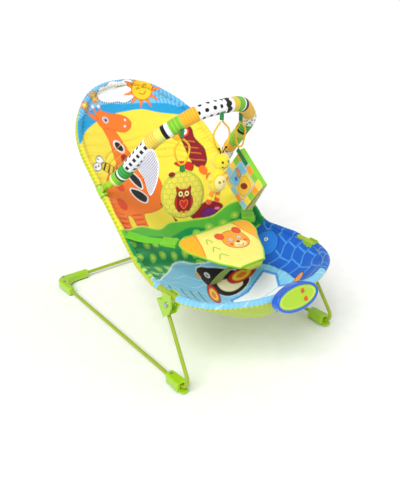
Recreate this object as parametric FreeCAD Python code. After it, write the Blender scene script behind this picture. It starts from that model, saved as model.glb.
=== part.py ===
"""Baby bouncer seat: wire base, sprung legs, reclining seat frame, sling cover, harness,
vibration unit and a padded toy bar with hanging toys.

Millimetres.  +X is to the right as seen from the foot end, +Y runs from the foot end to the
head end, +Z is up.  The model is drawn on a bench frame whose Y starts where the base rails
and the legs would meet in a sharp corner; at the end every piece is moved by ORIGIN_SHIFT, so
that the origin is the middle of the floor rectangle that the whole seat covers.
"""
import FreeCAD, Part
import math
import os

V = FreeCAD.Vector

# ---------------------------------------------------------------- base: rods, elbows, feet
BASE_WIDTH = 400.0          # rail centre to rail centre
BASE_LENGTH = 556.0         # sharp front corner to the rear crossbar's centre
ROD_R = 4.0                 # base rods and legs, solid spring steel
PAD_H = 3.0                 # rubber pads under the plastic corners
CORNER_H = 18.0             # height of the plastic elbows and feet
ROD_Z = PAD_H + CORNER_H / 2
ELBOW_ARM_X = 78.0          # elbow's arm along the crossbar
ELBOW_ARM_Y = 62.0          # elbow's arm along the rail
ELBOW_HALF = 9.0            # half width at the corner
ELBOW_TIP_HALF = 6.5        # half width at the end of an arm
ELBOW_WEB_R = 38.0          # inner concave web
ELBOW_CORNER_R = 22.0       # outer corner
CROSSBAR_STOP = 2.0         # crossbar's end, from the corner
RAIL_STOP = 13.0            # rail's end, from the corner
ELBOW_SCREW_X = 9.0         # screw through the crossbar, from the corner
ELBOW_SCREW_Y = 23.0        # screw through the rail, from the corner
PAD_INSET = 2.0
FOOT_HALF = 13.0            # half width of a front foot
FOOT_FRONT = 33.0           # front wall of the foot's block
FOOT_REAR = 80.0
FOOT_NOSE = 20.0            # tip of the tongue under the bend
TONGUE_H = 3.5
TONGUE_HALF = 9.0
RAIL_FRONT = 58.0           # rail's front end inside the foot
FOOT_SCREW_Y = 69.0
SCREW_R = 1.5
SCREW_HEAD_R = 3.0
SCREW_HEAD_H = 1.8

# ---------------------------------------------------------------- sprung legs and brackets
LEG_ANGLE = math.radians(56.0)      # leg's slope in side view
BEND_R = 20.0                       # centre-line radius of the bend at the floor
LEG_END_Y = 54.0                    # rear end of the leg inside the foot
FLEX_Y = 50.0                       # axis about which the leg flexes
FLEX_DOWN = math.radians(7.5)       # room for the flex in the foot's pocket, and a margin
FLEX_UP = math.radians(2.0)
POCKET_GAP = 0.7
LEG_LENGTH = 187.0                  # from the sharp corner to the leg's top end
BRACKET_X = 187.5                   # bracket's mid plane, also the straight part of the seat tube
SOCKET_FROM = 160.0                 # socket block along the leg
SOCKET_TO = 199.0
SOCKET_BACK = 8.0                   # block behind and in front of the leg's axis
SOCKET_FRONT = 10.5
CHEEK_GAP = 1.6                     # between a bracket's cheek and the seat tube
CHEEK_T = 3.4
PIVOT_Y = 84.0
PIVOT_Z = 174.0
PIVOT_R = 3.0
PIVOT_GAP = 0.05
BOLT_HEAD_R = 5.5
BOLT_HEAD_H = 3.0
NUT_R = 5.5
NUT_H = 4.0

# ---------------------------------------------------------------- seat frame
SEAT_Z = 192.0              # centre height of the level part of the seat tube
TUBE_R = 6.0
CHEEK_IN = TUBE_R + CHEEK_GAP       # cheeks' inner and outer faces, from the mid plane
CHEEK_OUT = CHEEK_IN + CHEEK_T
TUBE_WALL = 1.0
FRONT_Y = -46.0             # tube's centre at the foot end
FRONT_HALF = 78.0           # ends of the straight front, before its corners are rounded
CORNER_Y = 22.0             # side line meets the front corner line here
FRONT_R = 220.0
CORNER_R = 115.0
WAIST_Y = 140.0             # side tubes start to close in
WAIST_R = 100.0
HIP_Y = 222.0               # seat turns up into the backrest
HIP_HALF = 172.0
HIP_R = 60.0
BACK_ANGLE = math.radians(39.0)
HEAD_V = 451.0              # length of the backrest, hip to crown
SHOULDER_DROP = 113.0       # shoulders below the crown, along the backrest
SHOULDER_V = HEAD_V - SHOULDER_DROP
SHOULDER_HALF = 165.0
SHOULDER_R = 205.0
CROWN_HALF = 66.0
CROWN_R = 132.0
JOINT_Y = 175.0             # the two tubes meet here
JOINER_LENGTH = 44.0
JOINER_GAP = 0.05
CLAMP_FROM = 72.0           # seat clamp along the tube
CLAMP_TO = 96.0
CLAMP_HALF = 6.5
BOSS_R = 9.0
CLAMP_SCREW_INSET = 5.0

# ---------------------------------------------------------------- cover
HEM_GAP = 0.15
HEM_WALL = 1.35
HEM_R = TUBE_R + HEM_GAP + HEM_WALL
PANEL_T = 6.0
PANEL_INSET = 12.0          # panel's edge, inside the tube's centre
SLING_POWER = 1.35          # 2 is a round hammock, 1 is a V
BACK_SAGS = ((0.18, 60.0), (0.385, 54.0), (0.65, 44.0))     # share of the shoulders' height, depth
CROWN_SAGS = (              # distance below the crown, depth, narrowing from the shoulders' half
    (151.0, 34.0, PANEL_INSET + 2.0), (91.0, 25.0, 31.0), (46.0, 17.0, 69.0), (19.0, 10.0, 107.0))
BRACKET_NOTCH = (64.0, 120.0)
CLIP_NOTCH = 16.0           # hem stops this far each side of a bar clip

# ---------------------------------------------------------------- toy bar
CLIP_V = 183.0              # bar clips' place up the backrest
CLIP_HALF = 12.0
CLIP_R = 9.5
EAR_IN = 3.3
EAR_OUT = 6.3
EAR_R = 6.0
PIN_UP = 17.0               # bar's pin above the tube's centre
PIN_R = 2.5
PIN_GAP = 0.05
BAR_SLOPE = math.radians(134.4)     # bar's plane in side view, from +Y
BAR_TUBE_R = 5.0
BAR_START = (160.0, 12.0)   # half width and height in the bar's plane, from the pin
BAR_KNEE = (143.0, 46.0)
BAR_SHOULDER = (122.0, 188.0)
BAR_CROWN = (52.0, 263.0)
BAR_RADII = (60.0, 70.0, 72.0)
SLEEVE_R = 15.0
SLEEVE_FROM = 14.0          # sleeve starts this far up the bar tube
BARREL_R = 8.0
BARREL_L = 13.0
TONGUE_T = 3.0

# ---------------------------------------------------------------- vibration unit
UNIT_Y = FRONT_Y - HEM_R - 15.0
UNIT_Z = 192.5
UNIT_TILT = math.radians(20.0)
UNIT_A = 54.0               # half width and half height of the rim
UNIT_B = 27.0
FACE_A = 48.5
FACE_B = 21.5
FACE_T = 2.5
FACE_PROUD = 0.6            # the face stands this far out of the rim's datum
FACE_LEDGE = 1.5            # ledge that the face rests on
UNIT_DEPTH = 13.5
UNIT_WALL = 2.0
LIP_H = 2.0
RIM_R = 1.8                 # rounding of the rim's front edge
BUTTON_R = 4.2
BUTTON_GAP = 0.4
BUTTON_TOP = 2.4
BUTTON_TRAVEL = 1.5
FLANGE_R = 5.4
FLANGE_T = 1.2
BUTTONS = {"upper_button": (14.5, 8.5), "lower_button": (19.0, -8.5)}
BATTERY_R = 7.2             # one AA cell
BATTERY_L = 50.0
BATTERY_UP = -13.5
BATTERY_OUT = -(UNIT_DEPTH + 0.8 + BATTERY_R)
CONTACT_T = 1.0
CONTACT_HALF = 4.0
BOX_WALL = 1.6
BOX_IN = BATTERY_L / 2 + CONTACT_T          # half length of the battery's room
BOX_ROOM = BATTERY_R + 0.2                  # half height of the battery's room
BOX_DEPTH = BATTERY_R + 0.3 - BATTERY_OUT   # inner face of the door
DOOR_T = 1.6
DOOR_EAR = 2.4              # door screws stand this far beyond the box
DOOR_BOSS_R = 3.4
STRAP_HALF = 11.0           # strap that holds the unit on the tube
STRAP_WALL = 3.0
STRAP_FOOT_T = 2.5
STRAP_FOOT_UP = 25.5
STRAP_SCREW_UP = 22.6
BOARD_X = (-3.0, 36.0)
BOARD_HALF = 12.0
BOARD_T = 1.6
BOARD_GAP = 0.4             # between a pressed button and the board
MOTOR_R = 3.2
MOTOR_X = (-24.0, -10.0)
MOTOR_UP = 7.0
MOTOR_OUT = -7.8
WEIGHT_R = 3.0
WEIGHT_X = (-9.0, -5.0)
SHAFT_R = 0.5
SHAFT_GAP = 0.05
SHAFT_IN = 6.0              # shaft's length inside the motor
SPEAKER_R = 8.5
SPEAKER_T = 4.0
SPEAKER_AT = (-32.5, -3.0)
POSTS = ((2.0, 8.0), (2.0, -8.0), (32.0, 8.0), (32.0, -8.0))
POST_R = 2.0

# ---------------------------------------------------------------- harness
PAD_T = 8.0
PAD_LINE = [                # y, z and half width along the crotch pad, from the fold back
    (62.0, 208.5, 34.0), (98.0, 213.0, 58.0), (136.0, 219.0, 79.0), (164.0, 226.0, 95.0),
    (188.0, 233.0, 95.0), (196.0, 235.5, 82.0)]
STEM_T = 6.0
STEM_LINE = [               # the stem under the pad, from the fold down to the seat
    (60.0, 203.0, 29.0), (98.0, 189.0, 28.0), (134.0, 168.0, 27.0), (166.0, 134.0, 27.0),
    (188.0, 104.0, 27.0)]
STRAP_W = 25.0
STRAP_T = 2.0
STRAP_FROM = V(160.0, 272.0, 237.0)
BUCKLE_AT = V(96.5, 190.0, 232.0)
BUCKLE_L = 24.0
BUCKLE_W = 28.0
BUCKLE_T = 9.0
BUCKLE_WALL = 2.7
BUCKLE_SIDE = 5.0
HEAD_L = 9.0                # gripping part of the buckle's tongue
STRAP_SAG = 4.0

# ---------------------------------------------------------------- toys
OWL_X = 86.0                # the outer toys hang this far from the middle
PLUSH_X = -9.0
BOOK_X = 80.0
BOOK_HOOK = V(-11.0, 14.0, -2.0)    # its hook is sewn to the inner side of the sleeve
EYE_R = 4.0
EYE_H = 11.0
HANG_GAP = 0.6
LOOP_R = 2.2
OWL_LOOP_H = 52.0
OWL_LOOP_W = 30.0
OWL_A = 43.0
OWL_B = 50.0
OWL_T = 20.0
OWL_TURN = math.radians(-22.0)      # about the vertical, towards the left front
OWL_CLIP = (10.0, 8.0, 12.0)
PLUSH_LOOP_H = 60.0
PLUSH_LOOP_W = 34.0
PLUSH_HEAD_R = 19.0
PLUSH_BODY_R = 21.0
PLUSH_NECK_R = 12.0
PLUSH_DROP = 41.0           # body's centre below the head's
PLUSH_ASIDE = 11.0          # and to the left of it
PLUSH_LEG_R = 5.5
PLUSH_LEG = (-9.0, -40.0)   # legs reach this far to the left and down
BOOK_LOOP_H = 52.0
BOOK_LOOP_W = 22.0
BOOK_SIDE = 95.0
BOOK_LEAF_T = 3.0
BOOK_LEAVES = 4             # two covers and two pages
BOOK_LEAF_PITCH = 3.4
BOOK_STAGGER = 4.0          # each leaf reaches this much further out than the one before
BOOK_FAN = 3.0              # degrees that each leaf opens from the one before
BOOK_DROP = 5.0             # hanging corner below the loop
BOOK_SPINE_SLOPE = math.radians(-38.0)   # spine's slope from the hanging corner to the foot end
BOOK_TAB_L = 34.0
BOOK_TAB_W = 11.0
BOOK_TAB_T = 2.0
LEAF_X = -133.5
LEAF_T = 2.5
LEAF_FROM = 116.0           # sewn to the sleeve between these heights of the bar
LEAF_TO = 186.0
LEAF_SHAPE = ((-24.0, -14.0), (-27.0, -32.0), (-18.0, -66.0), (8.0, -100.0), (29.0, -70.0))

SIDES = {"left": -1.0, "right": 1.0}
ROOM = 400.0                # oversize of cutting blocks


# ================================================================ drawing helpers
def corner_points(points, radii, closed=False):
    """Tangent points and mid point of the arc at each rounded corner."""
    count = len(points)
    corners = []
    for i in range(count):
        end = not closed and i in (0, count - 1)
        if end:
            corners.append((points[i], None, points[i]))
            continue
        here = points[i]
        back = (points[i - 1] - here).normalize()
        on = (points[(i + 1) % count] - here).normalize()
        half = math.acos(max(-1.0, min(1.0, back.dot(on)))) / 2
        reach = radii[i] / math.tan(half)
        middle = (back + on).normalize()
        centre = here + middle * (radii[i] / math.sin(half))
        corners.append((here + back * reach, centre - middle * radii[i], here + on * reach))
    return corners


def rounded_path(points, radii, closed=False):
    """A wire of straight runs joined by tangent arcs; radii names the inner corners."""
    if not closed:
        radii = [0.0] + list(radii) + [0.0]
    corners = corner_points(points, radii, closed)
    edges = []
    last = len(corners) if closed else len(corners) - 1
    for i in range(len(corners)):
        start, middle, end = corners[i]
        if middle is not None:
            edges.append(Part.Arc(start, middle, end).toShape())
        if i < last:
            after = corners[(i + 1) % len(corners)][0]
            if (after - end).Length > 1e-4:
                edges.append(Part.LineSegment(end, after).toShape())
    return Part.Wire(Part.__sortEdges__(edges))


def rounded_plate(points, radii, height):
    """A flat plate from z to z + height with rounded corners in plan."""
    return Part.Face(rounded_path(points, radii, closed=True)).extrude(V(0, 0, height))


def pipe(points, radii, radius, closed=False):
    """A round bar along a rounded path."""
    path = rounded_path(points, radii, closed)
    first = path.OrderedEdges[0]
    start = first.valueAt(first.FirstParameter)
    along = first.tangentAt(first.FirstParameter)
    if not closed and (path.OrderedVertexes[0].Point - start).Length > 1e-6:
        start = first.valueAt(first.LastParameter)
        along = first.tangentAt(first.LastParameter)
    ring = Part.Wire([Part.makeCircle(radius, start, along)])
    return path.makePipeShell([ring], True, False)


def rod(start, end, radius):
    return Part.makeCylinder(radius, (end - start).Length, start, end - start)


def block(low, high):
    return Part.makeBox(high[0] - low[0], high[1] - low[1], high[2] - low[2], V(*low))


def plate_yz(outline, x_low, x_high):
    """A plate with its outline in the Y-Z plane, between two X values."""
    points = [V(x_low, y, z) for y, z in outline]
    points.append(points[0])
    return Part.Face(Part.makePolygon(points)).extrude(V(x_high - x_low, 0, 0))


def placed(shape, origin, x_axis, z_axis):
    """Moves a piece drawn at the origin so that its X and Z lie along the given axes."""
    z = V(z_axis).normalize()
    x = V(x_axis)
    x = (x - z * x.dot(z)).normalize()
    y = z.cross(x)
    matrix = FreeCAD.Matrix(x.x, y.x, z.x, origin.x,
                            x.y, y.y, z.y, origin.y,
                            x.z, y.z, z.z, origin.z,
                            0, 0, 0, 1)
    moved = shape.copy()
    moved.transformShape(matrix)
    return moved


def strip(stations, thickness):
    """A flat band: stations are (centre, across, half width, normal)."""
    wires = []
    for centre, across, half, normal in stations:
        a = V(across).normalize() * half
        n = V(normal).normalize() * thickness
        corners = [centre - a, centre + a, centre + a + n, centre - a + n]
        wires.append(Part.makePolygon(corners + corners[:1]))
    return Part.makeLoft(wires, True, True)


def screw(at, into, length, radius=SCREW_R, head=SCREW_HEAD_R, head_height=SCREW_HEAD_H):
    """A screw whose head sits on the point at, with its shank going into the part."""
    into = V(into).normalize()
    shank = Part.makeCylinder(radius, length, at, into)
    return shank.fuse(Part.makeCylinder(head, head_height, at, into * -1)).removeSplitter()


def screw_bore(at, into, length, radius=SCREW_R):
    return Part.makeCylinder(radius, length, at, V(into).normalize())


# ================================================================ where things are
def elbow_point(side, along_x, along_y, z=0.0):
    """A point near a rear corner, by its distances along the crossbar and along the rail."""
    return V(side * (BASE_WIDTH / 2 - along_x), BASE_LENGTH - along_y, z)


LEAN = math.atan((BASE_WIDTH / 2 - BRACKET_X) / (LEG_LENGTH * math.sin(LEG_ANGLE)))


def leg_point(side, y, up):
    """A point of the leg's plane, which leans inwards from the rail."""
    return V(side * (BASE_WIDTH / 2 - up * math.sin(LEAN)), y, ROD_Z + up * math.cos(LEAN))


def leg_side_point(along, off):
    """Y and Z of a point by its distance up the leg and off it towards the front."""
    y = along * math.cos(LEG_ANGLE) - off * math.sin(LEG_ANGLE)
    z = ROD_Z + along * math.sin(LEG_ANGLE) + off * math.cos(LEG_ANGLE)
    return (y, z)


def back_point(x, v, off=0.0):
    """A point of the backrest's plane, v up from the hip and off it towards the sitter."""
    y = HIP_Y + v * math.cos(BACK_ANGLE) - off * math.sin(BACK_ANGLE)
    z = SEAT_Z + v * math.sin(BACK_ANGLE) + off * math.cos(BACK_ANGLE)
    return V(x, y, z)


def back_half(v):
    """Half width between the side tubes' centres, v up the backrest."""
    return HIP_HALF + (SHOULDER_HALF - HIP_HALF) * v / SHOULDER_V


def side_half(y):
    """Half width at a given Y behind the waist of the level part."""
    return BRACKET_X + (HIP_HALF - BRACKET_X) * (y - WAIST_Y) / (HIP_Y - WAIST_Y)


BAR_DIR = V(0, math.cos(BAR_SLOPE), math.sin(BAR_SLOPE))
PIN = back_point(0.0, CLIP_V, PIN_UP)


def bar_point(half, up, below=0.0):
    """A point of the toy bar's plane; below lowers it straight down."""
    return V(half, PIN.y, PIN.z - below) + BAR_DIR * up


UNIT_UP = V(0, math.sin(UNIT_TILT), math.cos(UNIT_TILT))
UNIT_OUT = V(0, -math.cos(UNIT_TILT), math.sin(UNIT_TILT))
UNIT_AT = V(0, UNIT_Y, UNIT_Z)


def unit_point(x, up, out):
    return UNIT_AT + V(x, 0, 0) + UNIT_UP * up + UNIT_OUT * out


FOOT_REACH = unit_point(0, RIM_R - UNIT_B, LIP_H - RIM_R).y - RIM_R
HEAD_REACH = HIP_Y + HEAD_V * math.cos(BACK_ANGLE) + HEM_R
ORIGIN_SHIFT = V(0, -(FOOT_REACH + HEAD_REACH) / 2, 0)


# ================================================================ base
def elbow_outline(side, inset=0.0):
    corners = [(-ELBOW_HALF, -ELBOW_HALF), (ELBOW_ARM_X, -ELBOW_TIP_HALF),
               (ELBOW_ARM_X, ELBOW_TIP_HALF), (ELBOW_HALF, ELBOW_HALF),
               (ELBOW_TIP_HALF, ELBOW_ARM_Y), (-ELBOW_TIP_HALF, ELBOW_ARM_Y)]
    radii = [ELBOW_CORNER_R, 4.0, 4.0, ELBOW_WEB_R, 4.0, 4.0]
    wire = rounded_path([elbow_point(side, a, b) for a, b in corners], radii, closed=True)
    face = Part.Face(wire)
    if inset:
        face = face.makeOffset2D(-inset)
    return face


def top_edges(shape, z):
    return [e for e in shape.Edges if abs(e.BoundBox.ZMin - z) < 1e-4
            and abs(e.BoundBox.ZMax - z) < 1e-4]


def elbow_screws(side):
    top = PAD_H + CORNER_H
    spots = [elbow_point(side, ELBOW_SCREW_X, 0, top), elbow_point(side, 0, ELBOW_SCREW_Y, top)]
    return [(at, V(0, 0, -1), CORNER_H - 3.0) for at in spots]


def foot_screw(side):
    return (V(side * BASE_WIDTH / 2, FOOT_SCREW_Y, PAD_H + CORNER_H), V(0, 0, -1), CORNER_H - 3.0)


def base_rods():
    crossbar = rod(elbow_point(-1, CROSSBAR_STOP, 0, ROD_Z),
                   elbow_point(1, CROSSBAR_STOP, 0, ROD_Z), ROD_R)
    for side in SIDES.values():
        crossbar = crossbar.cut(screw_bore(*elbow_screws(side)[0]))
    nodes = {"rear_crossbar": crossbar}
    for name, side in SIDES.items():
        rail = rod(V(side * BASE_WIDTH / 2, RAIL_FRONT, ROD_Z),
                   elbow_point(side, 0, RAIL_STOP, ROD_Z), ROD_R)
        rail = rail.cut(screw_bore(*elbow_screws(side)[1]))
        nodes[name + "_side_rail"] = rail.cut(screw_bore(*foot_screw(side)))
    return nodes


def rear_elbow(side):
    body = elbow_outline(side).extrude(V(0, 0, CORNER_H))
    body.translate(V(0, 0, PAD_H))
    body = body.makeFillet(4.0, top_edges(body, PAD_H + CORNER_H))
    crossbar_end = rod(elbow_point(side, CROSSBAR_STOP, 0, ROD_Z),
                       elbow_point(side, ELBOW_ARM_X + 5, 0, ROD_Z), ROD_R)
    rail_end = rod(elbow_point(side, 0, RAIL_STOP, ROD_Z),
                   elbow_point(side, 0, ELBOW_ARM_Y + 5, ROD_Z), ROD_R)
    body = body.cut(crossbar_end).cut(rail_end)
    for spot in elbow_screws(side):
        body = body.cut(screw_bore(*spot))
    return body


def foot_pocket(side):
    """Room in the foot for the leg's end and for its flex about FLEX_Y."""
    low = ROD_Z - ROD_R - POCKET_GAP
    high = ROD_Z + ROD_R + POCKET_GAP
    front = FOOT_FRONT - 1.0
    rear = LEG_END_Y + 1.5
    ahead = FLEX_Y - front
    behind = rear - FLEX_Y
    outline = [(front, low - ahead * math.tan(FLEX_UP)), (FLEX_Y, low),
               (rear, low - behind * math.tan(FLEX_DOWN)),
               (rear, high + behind * math.tan(FLEX_UP)), (FLEX_Y, high),
               (front, high + ahead * math.tan(FLEX_DOWN))]
    middle = side * BASE_WIDTH / 2
    half = ROD_R + 0.7
    return plate_yz(outline, middle - half, middle + half)


def front_foot(side):
    middle = side * BASE_WIDTH / 2
    top = PAD_H + CORNER_H + 1.5
    outline = [V(middle - FOOT_HALF, FOOT_FRONT, PAD_H), V(middle + FOOT_HALF, FOOT_FRONT, PAD_H),
               V(middle + FOOT_HALF - 3, FOOT_REAR, PAD_H),
               V(middle - FOOT_HALF + 3, FOOT_REAR, PAD_H)]
    body = rounded_plate(outline, [4.0, 4.0, 7.0, 7.0], top - PAD_H)
    body = body.makeFillet(4.0, top_edges(body, top))
    tongue = [V(middle - TONGUE_HALF, FOOT_NOSE, PAD_H), V(middle + TONGUE_HALF, FOOT_NOSE, PAD_H),
              V(middle + TONGUE_HALF, FOOT_FRONT + 4, PAD_H),
              V(middle - TONGUE_HALF, FOOT_FRONT + 4, PAD_H)]
    body = body.fuse(rounded_plate(tongue, [8.5, 8.5, 1.0, 1.0], TONGUE_H)).removeSplitter()
    rail_end = rod(V(middle, RAIL_FRONT, ROD_Z), V(middle, FOOT_REAR + 5, ROD_Z), ROD_R)
    body = body.cut(rail_end).cut(foot_pocket(side))
    at, into, length = foot_screw(side)
    seat = Part.makeCylinder(SCREW_HEAD_R + 0.2, 5.0, at, into * -1)
    return body.cut(screw_bore(at, into, length)).cut(seat)


def floor_pads():
    pads = []
    for side in SIDES.values():
        pads.append(elbow_outline(side, PAD_INSET).extrude(V(0, 0, PAD_H)))
        middle = side * BASE_WIDTH / 2
        half = FOOT_HALF - PAD_INSET - 2
        outline = [V(middle - half, FOOT_FRONT + PAD_INSET, 0),
                   V(middle + half, FOOT_FRONT + PAD_INSET, 0),
                   V(middle + half, FOOT_REAR - PAD_INSET, 0),
                   V(middle - half, FOOT_REAR - PAD_INSET, 0)]
        pads.append(rounded_plate(outline, [4.0] * 4, PAD_H))
    return Part.makeCompound(pads)


def base_screws():
    spots = []
    for side in SIDES.values():
        spots += elbow_screws(side)
        spots.append(foot_screw(side))
    return Part.makeCompound([screw(*spot) for spot in spots])


# ================================================================ legs and brackets
def spring_leg(side):
    points = [leg_point(side, LEG_END_Y, 0), leg_point(side, 0, 0),
              leg_point(side, LEG_LENGTH * math.cos(LEG_ANGLE), LEG_LENGTH * math.sin(LEG_ANGLE))]
    return pipe(points, [BEND_R], ROD_R)


def cheek_outline():
    """Side view of the bracket: the socket block, running up and forward round the seat tube."""
    low_front = leg_side_point(SOCKET_FROM, SOCKET_FRONT)
    low_back = leg_side_point(SOCKET_FROM, -SOCKET_BACK)
    high_back = leg_side_point(SOCKET_TO, -SOCKET_BACK)
    front = PIVOT_Y - 14.0
    rear = PIVOT_Y + 13.0
    top = SEAT_Z + TUBE_R
    return [low_front, low_back, high_back, (rear, high_back[1] + 6.0), (rear, top - 4.0),
            (rear - 4.0, top), (front + 3.0, top), (front, top - 3.0), (front, PIVOT_Z - 2.0)]


def socket_outline():
    return [leg_side_point(SOCKET_FROM, SOCKET_FRONT), leg_side_point(SOCKET_FROM, -SOCKET_BACK),
            leg_side_point(SOCKET_TO, -SOCKET_BACK), leg_side_point(SOCKET_TO, SOCKET_FRONT)]


def bracket_screw_spots(side):
    """Screws go in from the inner face: one ahead of the leg and one past its top end."""
    spots = []
    for along, off in ((SOCKET_FROM + 9.0, SOCKET_FRONT - 3.2), (LEG_LENGTH + 6.5, 1.0)):
        y, z = leg_side_point(along, off)
        spots.append((V(side * (BRACKET_X - CHEEK_OUT), y, z), V(side, 0, 0), 2 * CHEEK_OUT - 3.0))
    return spots


def bracket_half(side, outer):
    """One moulded half; outer is True for the half away from the middle of the seat."""
    way = side if outer else -side
    cheek = plate_yz(cheek_outline(), side * BRACKET_X + way * CHEEK_IN,
                     side * BRACKET_X + way * CHEEK_OUT)
    socket = plate_yz(socket_outline(), side * BRACKET_X, side * BRACKET_X + way * CHEEK_IN)
    body = cheek.fuse(socket).removeSplitter()
    body = body.cut(spring_leg(side))
    body = body.cut(pivot_rod(side, PIVOT_R))
    for spot in bracket_screw_spots(side):
        body = body.cut(screw_bore(*spot))
    return body


def pivot_rod(side, radius):
    reach = CHEEK_OUT + 20.0
    return rod(V(side * BRACKET_X - reach, PIVOT_Y, PIVOT_Z),
               V(side * BRACKET_X + reach, PIVOT_Y, PIVOT_Z), radius)


def pivot_bolt(side):
    start = V(side * (BRACKET_X + CHEEK_OUT), PIVOT_Y, PIVOT_Z)
    length = 2 * CHEEK_OUT + NUT_H
    return screw(start, V(-side, 0, 0), length, PIVOT_R, BOLT_HEAD_R, BOLT_HEAD_H)


def pivot_nut(side):
    """A hexagon nut on the inner end of the pivot bolt."""
    corners = [V(0, NUT_R * math.cos(math.radians(60 * i)), NUT_R * math.sin(math.radians(60 * i)))
               for i in range(7)]
    nut = Part.Face(Part.makePolygon(corners)).extrude(V(-side * NUT_H, 0, 0))
    nut.translate(V(side * (BRACKET_X - CHEEK_OUT), PIVOT_Y, PIVOT_Z))
    return nut.cut(pivot_rod(side, PIVOT_R))


# ================================================================ seat frame
def seat_path_points():
    """The level tube, from the joint on the right, round the foot end, to the left joint."""
    right = [V(side_half(JOINT_Y), JOINT_Y, SEAT_Z), V(BRACKET_X, WAIST_Y, SEAT_Z),
             V(BRACKET_X, CORNER_Y, SEAT_Z), V(FRONT_HALF, FRONT_Y, SEAT_Z)]
    left = [V(-p.x, p.y, p.z) for p in reversed(right)]
    return right + left


SEAT_RADII = [WAIST_R, CORNER_R, FRONT_R, FRONT_R, CORNER_R, WAIST_R]


def back_path_points():
    """The backrest tube, from the right joint, over the crown, to the left joint."""
    right = [V(side_half(JOINT_Y), JOINT_Y, SEAT_Z), V(HIP_HALF, HIP_Y, SEAT_Z),
             back_point(SHOULDER_HALF, SHOULDER_V), back_point(CROWN_HALF, HEAD_V)]
    left = [V(-p.x, p.y, p.z) for p in reversed(right)]
    return right + left


BACK_RADII = [HIP_R, SHOULDER_R, CROWN_R, CROWN_R, SHOULDER_R, HIP_R]


def frame_tube(points, radii):
    outside = pipe(points, radii, TUBE_R)
    return outside.cut(pipe(points, radii, TUBE_R - TUBE_WALL))


def tube_joiner(side):
    along = V(side * (HIP_HALF - BRACKET_X), HIP_Y - WAIST_Y, 0).normalize()
    middle = V(side * side_half(JOINT_Y), JOINT_Y, SEAT_Z)
    return rod(middle - along * (JOINER_LENGTH / 2), middle + along * (JOINER_LENGTH / 2),
               TUBE_R - TUBE_WALL - JOINER_GAP)


def clamp_screw_spots(side):
    """Self-tapping screws up through the clamp into the underside of the tube."""
    spots = []
    for y in (CLAMP_FROM + CLAMP_SCREW_INSET - 1.0, CLAMP_TO - CLAMP_SCREW_INSET + 1.0):
        spots.append((V(side * BRACKET_X, y, SEAT_Z - TUBE_R - 4.0), V(0, 0, 1), 6.5))
    return spots


def seat_clamp(side):
    """A saddle under the tube with the boss that turns on the pivot bolt."""
    low = SEAT_Z - TUBE_R - 4.0
    high = SEAT_Z - 2.0
    middle = side * BRACKET_X
    saddle = block((middle - CLAMP_HALF, CLAMP_FROM, low), (middle + CLAMP_HALF, CLAMP_TO, high))
    boss = rod(V(middle - CLAMP_HALF, PIVOT_Y, PIVOT_Z), V(middle + CLAMP_HALF, PIVOT_Y, PIVOT_Z),
               BOSS_R)
    body = saddle.fuse(boss).removeSplitter()
    body = body.cut(pipe(seat_path_points(), SEAT_RADII, TUBE_R))
    body = body.cut(pivot_rod(side, PIVOT_R + PIVOT_GAP))
    for at, into, length in clamp_screw_spots(side):
        body = body.cut(screw_bore(at, into, length))
        body = body.cut(Part.makeCylinder(SCREW_HEAD_R + 0.3, 12.0, at, into * -1))
    return body


def seat_tube():
    body = frame_tube(seat_path_points(), SEAT_RADII)
    for side in SIDES.values():
        for spot in clamp_screw_spots(side):
            body = body.cut(screw_bore(*spot))
    return body


def clamp_screws():
    spots = clamp_screw_spots(-1.0) + clamp_screw_spots(1.0)
    return Part.makeCompound([screw(*spot) for spot in spots])


# ================================================================ cover
def sling_stations():
    """Edge point, lowest middle point and half width, from the foot end to the crown."""
    level = [(-34.0, -30.0, 176.0, 84.0), (-8.0, -6.0, 136.0, 128.0), (26.0, 22.0, 106.0, 158.0),
             (62.0, 58.0, 91.0, BRACKET_X - PANEL_INSET), (104.0, 104.0, 86.0, BRACKET_X - PANEL_INSET),
             (150.0, 154.0, 95.0, side_half(150.0) - PANEL_INSET),
             (192.0, 206.0, 114.0, side_half(192.0) - PANEL_INSET)]
    stations = [(V(0, edge_y, SEAT_Z), V(0, low_y, low_z), half)
                for edge_y, low_y, low_z, half in level]
    hip = back_point(0, 4.0)
    stations.append((hip, V(0, HIP_Y + 30.0, SEAT_Z - 53.0), HIP_HALF - PANEL_INSET))
    for share, sag in BACK_SAGS:
        v = share * SHOULDER_V
        stations.append((back_point(0, v), back_point(0, v, -sag), back_half(v) - PANEL_INSET))
    for drop, sag, narrowing in CROWN_SAGS:
        v = HEAD_V - drop
        stations.append((back_point(0, v), back_point(0, v, -sag), SHOULDER_HALF - narrowing))
    return stations


def sling_section(edge, low, half):
    """One cross-section of the cover, in the plane of X and of its own sag."""
    sag = low - edge
    down = V(sag).normalize() * PANEL_T
    across = [-1.0, -0.8, -0.5, -0.25, 0.0, 0.25, 0.5, 0.8, 1.0]
    top = [edge + sag * (1 - abs(f) ** SLING_POWER) + V(f * half, 0, 0) for f in across]
    under = [p + down for p in reversed(top)]
    return Part.makePolygon(top + under + top[:1])


def largest(shape):
    return max(shape.Solids, key=lambda solid: solid.Volume)


def cover_panel(first, last):
    """Part of the sling, trimmed where its edge meets the hems."""
    sections = [sling_section(*station) for station in sling_stations()[first:last]]
    panel = Part.makeLoft(sections, True, True)
    for points, radii in ((seat_path_points(), SEAT_RADII), (back_path_points(), BACK_RADII)):
        panel = panel.cut(pipe(points, radii, HEM_R))
    return largest(panel)


def seat_panel():
    return cover_panel(0, 8)


def back_panel():
    return cover_panel(7, 15)


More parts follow.
